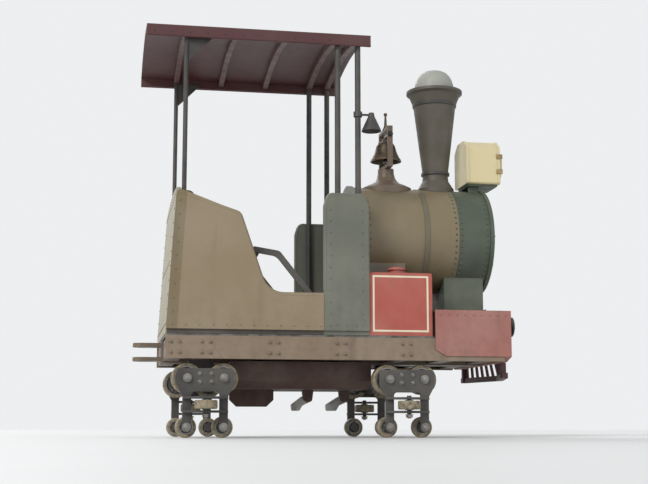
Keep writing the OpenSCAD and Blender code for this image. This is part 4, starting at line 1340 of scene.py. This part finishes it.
@dataclass
class Boiler(Assembly):
    """The boiler, smokebox, stack and bell, with their rivets, nuts and door gear."""

    coats: ClassVar[dict[str, str]] = {
        "boiler": "boiler_paint", "smokebox": "smokebox_paint", "smoke_stack": "stack_paint",
        "bell_stand": "brown_paint", "bell": "bronze"}
    smokebox_l: float = 0.205
    saddle_half: float = 0.215
    saddle: tuple[float, float] = (0.650, 0.920)
    saddle_margin: float = 0.03
    saddle_foot: float = 0.707
    flange_mid: float = 0.0125
    band_down: float = 0.212
    collar_h: float = 0.394
    clamps: int = 9
    clamp_in: float = 0.026
    hub_out: float = 0.034
    wheel_out: float = 0.046
    wheel_r: float = 0.066
    spokes: int = 5
    seam: float = 0.016
    front_seam: float = 0.040
    rear_seam: float = 0.060
    pivot_down: float = 0.009
    pivot_out: float = 0.122
    clapper_down: float = 0.034
    smokebox_rivets: int = 56
    boiler_rivets: int = 48
    front_nuts: int = 6
    side_nuts: int = 5
    # The height of the barrel's axis, which build takes from the frame
    z: float = 0.0

    def build(self) -> None:
        """Rivet the barrel and smokebox, bolt the saddle, and fit out the door, the stack and the bell."""
        low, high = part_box("boiler")
        radius = high.y - BAND_RISE
        self.z = high.z - high.y
        front = high.x + self.smokebox_l
        places = []
        for x in (high.x - self.seam, high.x + self.seam, front - self.front_seam):
            places += girth((x, 0, self.z), radius, self.smokebox_rivets, Axis.X)
        self.fasten("smokebox_rivets", rivet(0.006), places, "smokebox_paint")
        places = girth((low.x + self.rear_seam, 0, self.z), radius, self.boiler_rivets, Axis.X)
        self.fasten("boiler_rivets", rivet(0.005), places, "boiler_paint")
        x0, x1 = self.saddle
        y, z = self.saddle_half - self.flange_mid, self.saddle_foot
        half = y - self.saddle_margin
        places = row((x1 - 0.010, -half, z), (x1 - 0.010, half, z), self.front_nuts, Axis.Z)
        for side in Side:
            places += row((x0 + 0.02, side.value * y, z), (x1 - 0.012, side.value * y, z), self.side_nuts,
                          Axis.Z)
        self.fasten("saddle_nuts", hex_nut(0.015, 0.008), places, "smokebox_paint")
        self.door(front, radius)
        self.stack()
        self.bell_gear()

    def door(self, front: float, radius: float) -> None:
        """Add the door's clamps and the handwheel that pulls it shut.

        Args:
            front: The smokebox's front face.
            radius: The smokebox's radius.
        """
        clamp = joined("clamp", [block("arm", (-0.026, -0.009, 0), (0.012, 0.009, 0.008), 0.002),
                                 hex_nut(0.016, 0.009)])
        places = ring((front, 0, self.z), radius - self.clamp_in, self.clamps, Axis.X, math.radians(128),
                      math.radians(319.5))
        self.fasten("door_clamps", clamp, places, "smokebox_paint")
        hub = [(0, 0.0), (0.034, 0.0), (0.034, 0.006), (0.018, 0.010), (0.016, 0.018), (0.010, 0.020),
               (0, 0.021)]
        wheel = [turned("hub", hub, (front + self.hub_out, 0, self.z), Axis.X, 28)]

        def spot(turn: float, r: float) -> tuple[float, float, float]:
            """Return a point of the handwheel at a share of a turn and a radius."""
            angle = math.tau * turn
            return (front + self.wheel_out, r * math.cos(angle), self.z + r * math.sin(angle))

        for k in range(self.spokes):
            turn = k / self.spokes + 0.05
            wheel.append(tube("spoke", [spot(turn, 0.010), spot(turn, self.wheel_r)], 0.005))
        wheel.append(tube("rim", [spot(k / 40, self.wheel_r) for k in range(40)], 0.007, closed=True))
        self.add(joined("door_handwheel", wheel), "steel", slot="smokebox_paint")

    def stack(self) -> None:
        """Band the stack under its brim and above its foot."""
        low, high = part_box("smoke_stack")
        x = (low.x + high.x) / 2
        band = [(0.126, -0.012), (0.130, -0.008), (0.1315, 0.008), (0.128, 0.012), (0.122, 0.012),
                (0.120, -0.012), (0.126, -0.012)]
        made = turned("stack_band", band, (x, 0, high.z - self.band_down), segments=64)
        self.add(made, "dark_paint", slot="stack_paint")
        collar = [(0.080, 0), (0.084, 0.002), (0.084, 0.016), (0.080, 0.018), (0.070, 0.018), (0.070, 0),
                  (0.080, 0)]
        made = turned("stack_collar", collar, (x, 0, self.z + self.collar_h), segments=56)
        self.add(made, "dark_paint", slot="stack_paint")

    def bell_gear(self) -> None:
        """Put nuts on the bell's pivot and hang its clapper."""
        low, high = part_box("bell")
        x, pivot = (low.x + high.x) / 2, high.z - self.pivot_down
        drop = pivot - self.clapper_down
        reach = drop - low.z
        ball = [(0.005, 0.020), (0.009, 0.014), (0.015, 0.006), (0.017, -0.002), (0.015, -0.010),
                (0.008, -0.016), (0, -0.018)]
        clapper = [(0, 0), (0.005, 0), *((radius, height - reach) for radius, height in ball)]
        made = turned("bell_clapper", clapper, (x, 0, drop), segments=28)
        self.add(made, "steel", body="bell", slot="bell_brass")
        places = [placed((x, side.value * self.pivot_out, pivot), side.out) for side in Side]
        self.fasten("bell_nuts", hex_nut(0.026, 0.012), places, "dark_paint", body="bell", slot="bell_brass")


@dataclass
class Lamp(Assembly):
    """The headlamp with its ribbed lens, the screws round it, and its hinges and catch."""

    coats: ClassVar[dict[str, str]] = {"headlamp": "lamp_paint"}
    ribs: int = 7
    screws: int = 8
    screw_gap: float = 0.006
    hinge_up: float = 0.045

    def build(self) -> None:
        """Turn the ribbed lens, and add the screws, hinges and catch."""
        low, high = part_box("headlamp_lens")
        z = (low.z + high.z) / 2
        radius = (high.z - low.z) / 2
        depth = high.x - low.x
        ribs = [(0.0, 0.0), (radius, 0.0), (radius, depth - 0.014)]
        for k in range(self.ribs):
            outer = radius * (1 - k / self.ribs) * 0.995
            swell = depth - 0.012 * (outer / radius) ** 2
            ribs += [(outer, swell - 0.008), (outer - 0.002, swell - 0.0005),
                     (radius * (1 - (k + 0.6) / self.ribs), swell)]
        ribs.append((0, depth - 0.003))
        lens = turned("ribbed_lens", ribs, (low.x, 0, z), Axis.X, 64)
        self.add(lens, "lens_glass", slot="lens", replaces="headlamp_lens")
        box_low, box_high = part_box("headlamp")
        front = box_high.x
        places = ring((front, 0, z), radius + self.screw_gap, self.screws, Axis.X, math.radians(22.5))
        self.fasten("lamp_screws", rivet(0.004), places, "brass", slot="lamp_paint")
        ears = [block("hinge", (front - 0.040, box_low.y - 0.006, z + up - 0.014),
                      (front - 0.004, box_low.y + 0.004, z + up + 0.014), 0.003)
                for up in (-self.hinge_up, self.hinge_up)]
        ears.append(block("catch", (front - 0.044, box_high.y - 0.004, z - 0.016),
                          (front - 0.006, box_high.y + 0.007, z + 0.016), 0.003))
        self.add(joined("lamp_hinges", ears), "brass", slot="lamp_paint")


@dataclass
class FrontEnd(Assembly):
    """The deck, valances, beam, buffers, pilot and side tanks."""

    coats: ClassVar[dict[str, str]] = {
        "front_deck": "deck_plate", "front_apron": "apron_paint", "buffers": "dark_paint",
        "pilot": "roof_paint", "side_tanks": "red_paint"}
    row_down: float = 0.025
    margin: float = 0.03
    beam_margin: float = 0.05
    flange_t: float = 0.010
    flange_r: float = 0.055
    bolt_r: float = 0.045
    bolts: int = 4
    valance_rivets: int = 9
    beam_rivets: int = 17
    cap_in: float = 0.095

    def build(self) -> None:
        """Rivet the valances, bolt the buffers and cap the tanks."""
        low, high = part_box("front_apron")
        z = high.z - self.row_down
        places = []
        for side in Side:
            y = side.value * high.y
            places += row((low.x + self.margin, y, z), (high.x - self.margin, y, z),
                          self.valance_rivets, side.out)
        half = high.y - self.beam_margin
        places += row((high.x, -half, z), (high.x, half, z), self.beam_rivets, Axis.X)
        self.fasten("apron_rivets", rivet(0.006), places, "apron_paint")
        buffer_low, buffer_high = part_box("buffers")
        z = (buffer_low.z + buffer_high.z) / 2
        bolts = []
        for side in Side:
            centre = (buffer_low.x + self.flange_t, side.value * (buffer_high.y - self.flange_r), z)
            bolts += ring(centre, self.bolt_r, self.bolts, Axis.X, math.radians(45))
        self.fasten("buffer_bolts", hex_nut(0.013, 0.007), bolts, "bolt_steel", slot="black_steel")
        self.tank_caps()

    def tank_caps(self) -> None:
        """Put a filler cap on each side tank."""
        low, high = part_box("side_tanks")
        lid = [(0, 0.0), (0.046, 0.0), (0.046, 0.012), (0.040, 0.014), (0.040, 0.020), (0.052, 0.020),
               (0.052, 0.028), (0.046, 0.034), (0.020, 0.040), (0, 0.041)]
        for side in Side:
            at = ((low.x + high.x) / 2, side.value * (high.y - self.cap_in), high.z - 0.002)
            self.add(turned(f"tank_lid_{side.letter}", lid, at, segments=36), "red_paint")


@dataclass
class LapBar(Assembly):
    """The lap bar and its padded roll."""

    coats: ClassVar[dict[str, str]] = {"lap_bar": "dark_paint"}
    bore: float = 0.0135
    end: float = 0.014
    bays: int = 6

    def build(self) -> None:
        """Turn the padded roll in sewn bays."""
        low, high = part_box("lap_pad")
        x, z = (low.x + high.x) / 2, (low.z + high.z) / 2
        r = (high.z - low.z) / 2
        half = (high.y - low.y) / 2
        stations = [(self.bore, -half), (r * 0.62, -half), (r * 0.86, 0.006 - half),
                    (r * 0.94, self.end - half)]
        bay_l = 2 * (half - self.end) / self.bays
        for bay in range(self.bays):
            for share, size in ((0.04, 0.90), (0.12, 0.965), (0.3, 0.995), (0.5, 1.0), (0.7, 0.995),
                                (0.88, 0.965), (0.96, 0.90)):
                stations.append((r * size, self.end - half + (bay + share) * bay_l))
        stations += [(radius, -height) for radius, height in reversed(stations[:4])]
        stations.append(stations[0])
        roll = turned("lap_roll", stations, (x, 0, z), Axis.Y, 40)
        self.add(roll, "vinyl", body="lap_bar", replaces="lap_pad")


@dataclass(frozen=True)
class WheelKind:
    """One of the three kinds of wheel on a carrier."""

    axle: Axis
    diameter: float
    width: float
    hub_r: float
    bolts: int


@dataclass
class Running(Assembly):
    """The wheel carriers and their twenty wheels."""

    coats: ClassVar[dict[str, str]] = {
        "carrier_fl": "dark_paint", "carrier_fr": "dark_paint", "carrier_rl": "dark_paint",
        "carrier_rr": "dark_paint"}
    gauge: float = 0.900
    rail_top: float = 0.227
    pin_x: float = 0.095
    pin_out: float = 0.088
    pin_in: float = 0.0675
    guide_nut: float = 0.023
    run: WheelKind = WheelKind(Axis.Y, diameter=0.160, width=0.065, hub_r=0.028, bolts=6)
    guide: WheelKind = WheelKind(Axis.Z, diameter=0.120, width=0.045, hub_r=0.022, bolts=5)
    stop: WheelKind = WheelKind(Axis.Y, diameter=0.110, width=0.045, hub_r=0.023, bolts=5)
    guide_in: float = 0.030
    plate_in: float = 0.008
    plate_x: float = 0.030
    plate_z: tuple[float, float] = (0.022, -0.020)
    tread_depth: float = 0.016
    hub_wall: float = 0.0125
    web: float = 0.011

    def build(self) -> None:
        """Put nuts on each carrier's pins, and a finished wheel in place of each plain one."""
        for carrier in self.coats:
            self.nuts(carrier)
        kinds = {"running": self.run, "guide": self.guide, "upstop": self.stop}
        for node in sorted(self.nodes):
            first, _, rest = node.partition("_")
            if rest.startswith("wheel"):
                self.wheel(node, kinds[first])

    def nuts(self, name: str) -> None:
        """Put a nut on the end of each of a carrier's pins.

        Args:
            name: The carrier's node and body.
        """
        low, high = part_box(name)
        side = Side.LEFT if name.endswith("l") else Side.RIGHT
        x = (low.x + high.x) / 2
        y = side.value * (self.gauge / 2 + self.pin_out)
        run_z = self.rail_top + self.run.diameter / 2
        stop_z = self.stop.diameter / 2
        places = [placed((x + s * self.pin_x, y, z), side.out) for s in (-1, 1) for z in (run_z, stop_z)]
        inner = side.value * (self.gauge / 2 - self.pin_in)
        places += [placed((x + s * self.pin_x, inner, run_z), side.out.flipped()) for s in (-1, 1)]
        outer = high.y - self.guide_in if side is Side.LEFT else low.y + self.guide_in
        guide_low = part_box(name.replace("carrier", "guide_wheel"))[0].z - self.guide_nut
        places.append(placed((x, outer, guide_low), Axis.DOWN))
        self.fasten(f"{name}_nuts", hex_nut(0.036, 0.016), places, "bolt_steel", body=name,
                    slot="black_steel")
        y -= side.value * self.plate_in
        bolts = [placed((x + s * self.plate_x, y, run_z + h), side.out)
                 for s in (-1, 1) for h in self.plate_z]
        self.fasten(f"{name}_bolts", hex_nut(0.017, 0.010), bolts, "bolt_steel", body=name,
                    slot="black_steel")

    def wheel(self, node: str, kind: WheelKind) -> None:
        """Put a tread, a centre and its bolts where a plain wheel is.

        Args:
            node: The wheel's node and body.
            kind: The wheel's axle and sizes.
        """
        low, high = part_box(node)
        axis, hub = kind.axle, kind.hub_r
        radius, half = kind.diameter / 2, kind.width / 2
        centre = (low + high) / 2
        if axis is Axis.Y:
            centre.y = math.copysign(self.gauge / 2, centre.y)
        along = 1 if axis is Axis.Y else 2
        inner, outer = low[along] - centre[along], high[along] - centre[along]
        rim = radius - self.tread_depth
        tread = mirrored([(rim, 0.001 - half), (rim + 0.003, -half), (radius - 0.006, -half),
                          (radius - 0.002, 0.002 - half), (radius - 0.0004, 0.007 - half),
                          (radius, -half * 0.4)])
        tread.append(tread[0])
        made = turned(f"{node}_tread", tread, centre, axis, 72)
        self.add(made, "tread", body=node, slot="wheel_tread", replaces=node)
        bore, web = hub - self.hub_wall, self.web
        dish = mirrored([(hub + 0.001, -web - 0.003), (hub + 0.004, -web), (rim - 0.014, -web),
                         (rim - 0.010, -web - 0.004), (rim - 0.009, 0.003 - half),
                         (rim - 0.007, 0.001 - half), (rim - 0.0002, 0.001 - half)])
        middle = [(bore, inner), (hub - 0.001, inner), (hub, inner + 0.001), *dish, (hub, outer - 0.001),
                  (hub - 0.001, outer), (bore, outer), (bore, inner)]
        core = turned(f"{node}_centre", middle, centre, axis, 60)
        pitch = (hub + rim - 0.010) / 2
        places = ring(centre + Vector(axis.value) * web, pitch, kind.bolts, axis)
        places += ring(centre - Vector(axis.value) * web, pitch, kind.bolts, axis.flipped())
        studs = scattered("studs", hex_nut(0.012, 0.005), places)
        self.add(joined(f"{node}_centre", [core, studs]), "steel", body=node, slot="wheel_tread")


@dataclass
class Studio:
    """The pale floor, the lamps and the camera at floor level."""

    azimuth: float = -10.0
    distance: float = 7.0
    height: float = 0.05
    lens: float = 68.0
    aim: tuple[float, float, float] = (0.01, 0.0, 1.115)

    def look(self, thing: Piece, at: Sequence[float], target: Sequence[float]) -> None:
        """Turn a lamp or the camera, which stands at one place, to look at another."""
        thing.rotation_euler = (Vector(target) - Vector(at)).to_track_quat("-Z", "Y").to_euler()

    def floor(self) -> None:
        """Lay the pale floor."""
        deselect()
        bpy.ops.mesh.primitive_plane_add(size=60, location=(0, 0, 0))
        floor = named(bpy.context.object, "floor")
        g = Graph("floor_paint")
        tone = g.mix(g.step(g.noise(1.5, 4), 0.3, 0.7, 0, 0.3), (0.82, 0.83, 0.83), (0.78, 0.79, 0.79))
        floor.data.materials.append(g.surface(tone, 0.6))

    def world(self) -> None:
        """Set a pale sky that lights softly from all round."""
        world = bpy.data.worlds.new("sky")
        bpy.context.scene.world = world
        world.use_nodes = True
        tree = world.node_tree
        background = tree.nodes["Background"]
        background.inputs["Color"].default_value = (0.89, 0.905, 0.915, 1)
        path = tree.nodes.new("ShaderNodeLightPath")
        seen = path.outputs["Is Camera Ray"]
        for ray in ("Is Glossy Ray", "Is Transmission Ray"):
            either = tree.nodes.new("ShaderNodeMath")
            either.operation = "MAXIMUM"
            tree.links.new(seen, either.inputs[0])
            tree.links.new(path.outputs[ray], either.inputs[1])
            seen = either.outputs[0]
        level = tree.nodes.new("ShaderNodeMapRange")
        level.inputs["To Min"].default_value = 0.50
        level.inputs["To Max"].default_value = 0.95
        tree.links.new(seen, level.inputs["Value"])
        tree.links.new(level.outputs["Result"], background.inputs["Strength"])

    def lamp(self, name: str, at: Sequence[float], spread: float, strength: float) -> None:
        """Hang a wide soft sun that looks at the car, so that the floor is lit evenly.

        Args:
            name: The lamp's name.
            at: Its place.
            spread: Its angle in degrees.
            strength: Its strength.
        """
        deselect()
        bpy.ops.object.light_add(type="SUN", location=at)
        lamp = bpy.context.object
        lamp.name = name
        lamp.data.angle = math.radians(spread)
        lamp.data.energy = strength
        self.look(lamp, at, (0, 0, 1))

    def camera(self) -> None:
        """Stand the camera at floor level on the car's right."""
        deselect()
        angle = math.radians(self.azimuth)
        at = Vector((math.sin(angle), -math.cos(angle), 0)) * self.distance
        at.z = self.height
        bpy.ops.object.camera_add(location=at)
        camera = bpy.context.object
        camera.data.lens = self.lens
        camera.data.sensor_width = 36
        self.look(camera, at, self.aim)
        bpy.context.scene.camera = camera

    def build(self) -> None:
        """Set the whole stage."""
        self.camera()
        self.floor()
        self.world()
        self.lamp("key", (-4.2, -4.6, 4.9), 22, 1.7)
        self.lamp("low_fill", (3.0, -5.2, 1.6), 40, 0.35)
        self.lamp("rear", (-1.5, 4.8, 4.4), 30, 0.9)
        bpy.context.scene.view_settings.view_transform = "Standard"


def main() -> None:
    """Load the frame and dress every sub-assembly."""
    logging.basicConfig(level=logging.INFO, format="%(name)s %(message)s")
    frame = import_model()
    Studio().build()
    finishes = Finishes()
    for assembly in (Chassis, Tub, Bench, Cab, Boiler, Lamp, FrontEnd, LapBar, Running):
        assembly(finishes, frame["nodes"]).dress()


if __name__ == "__main__":
    main()
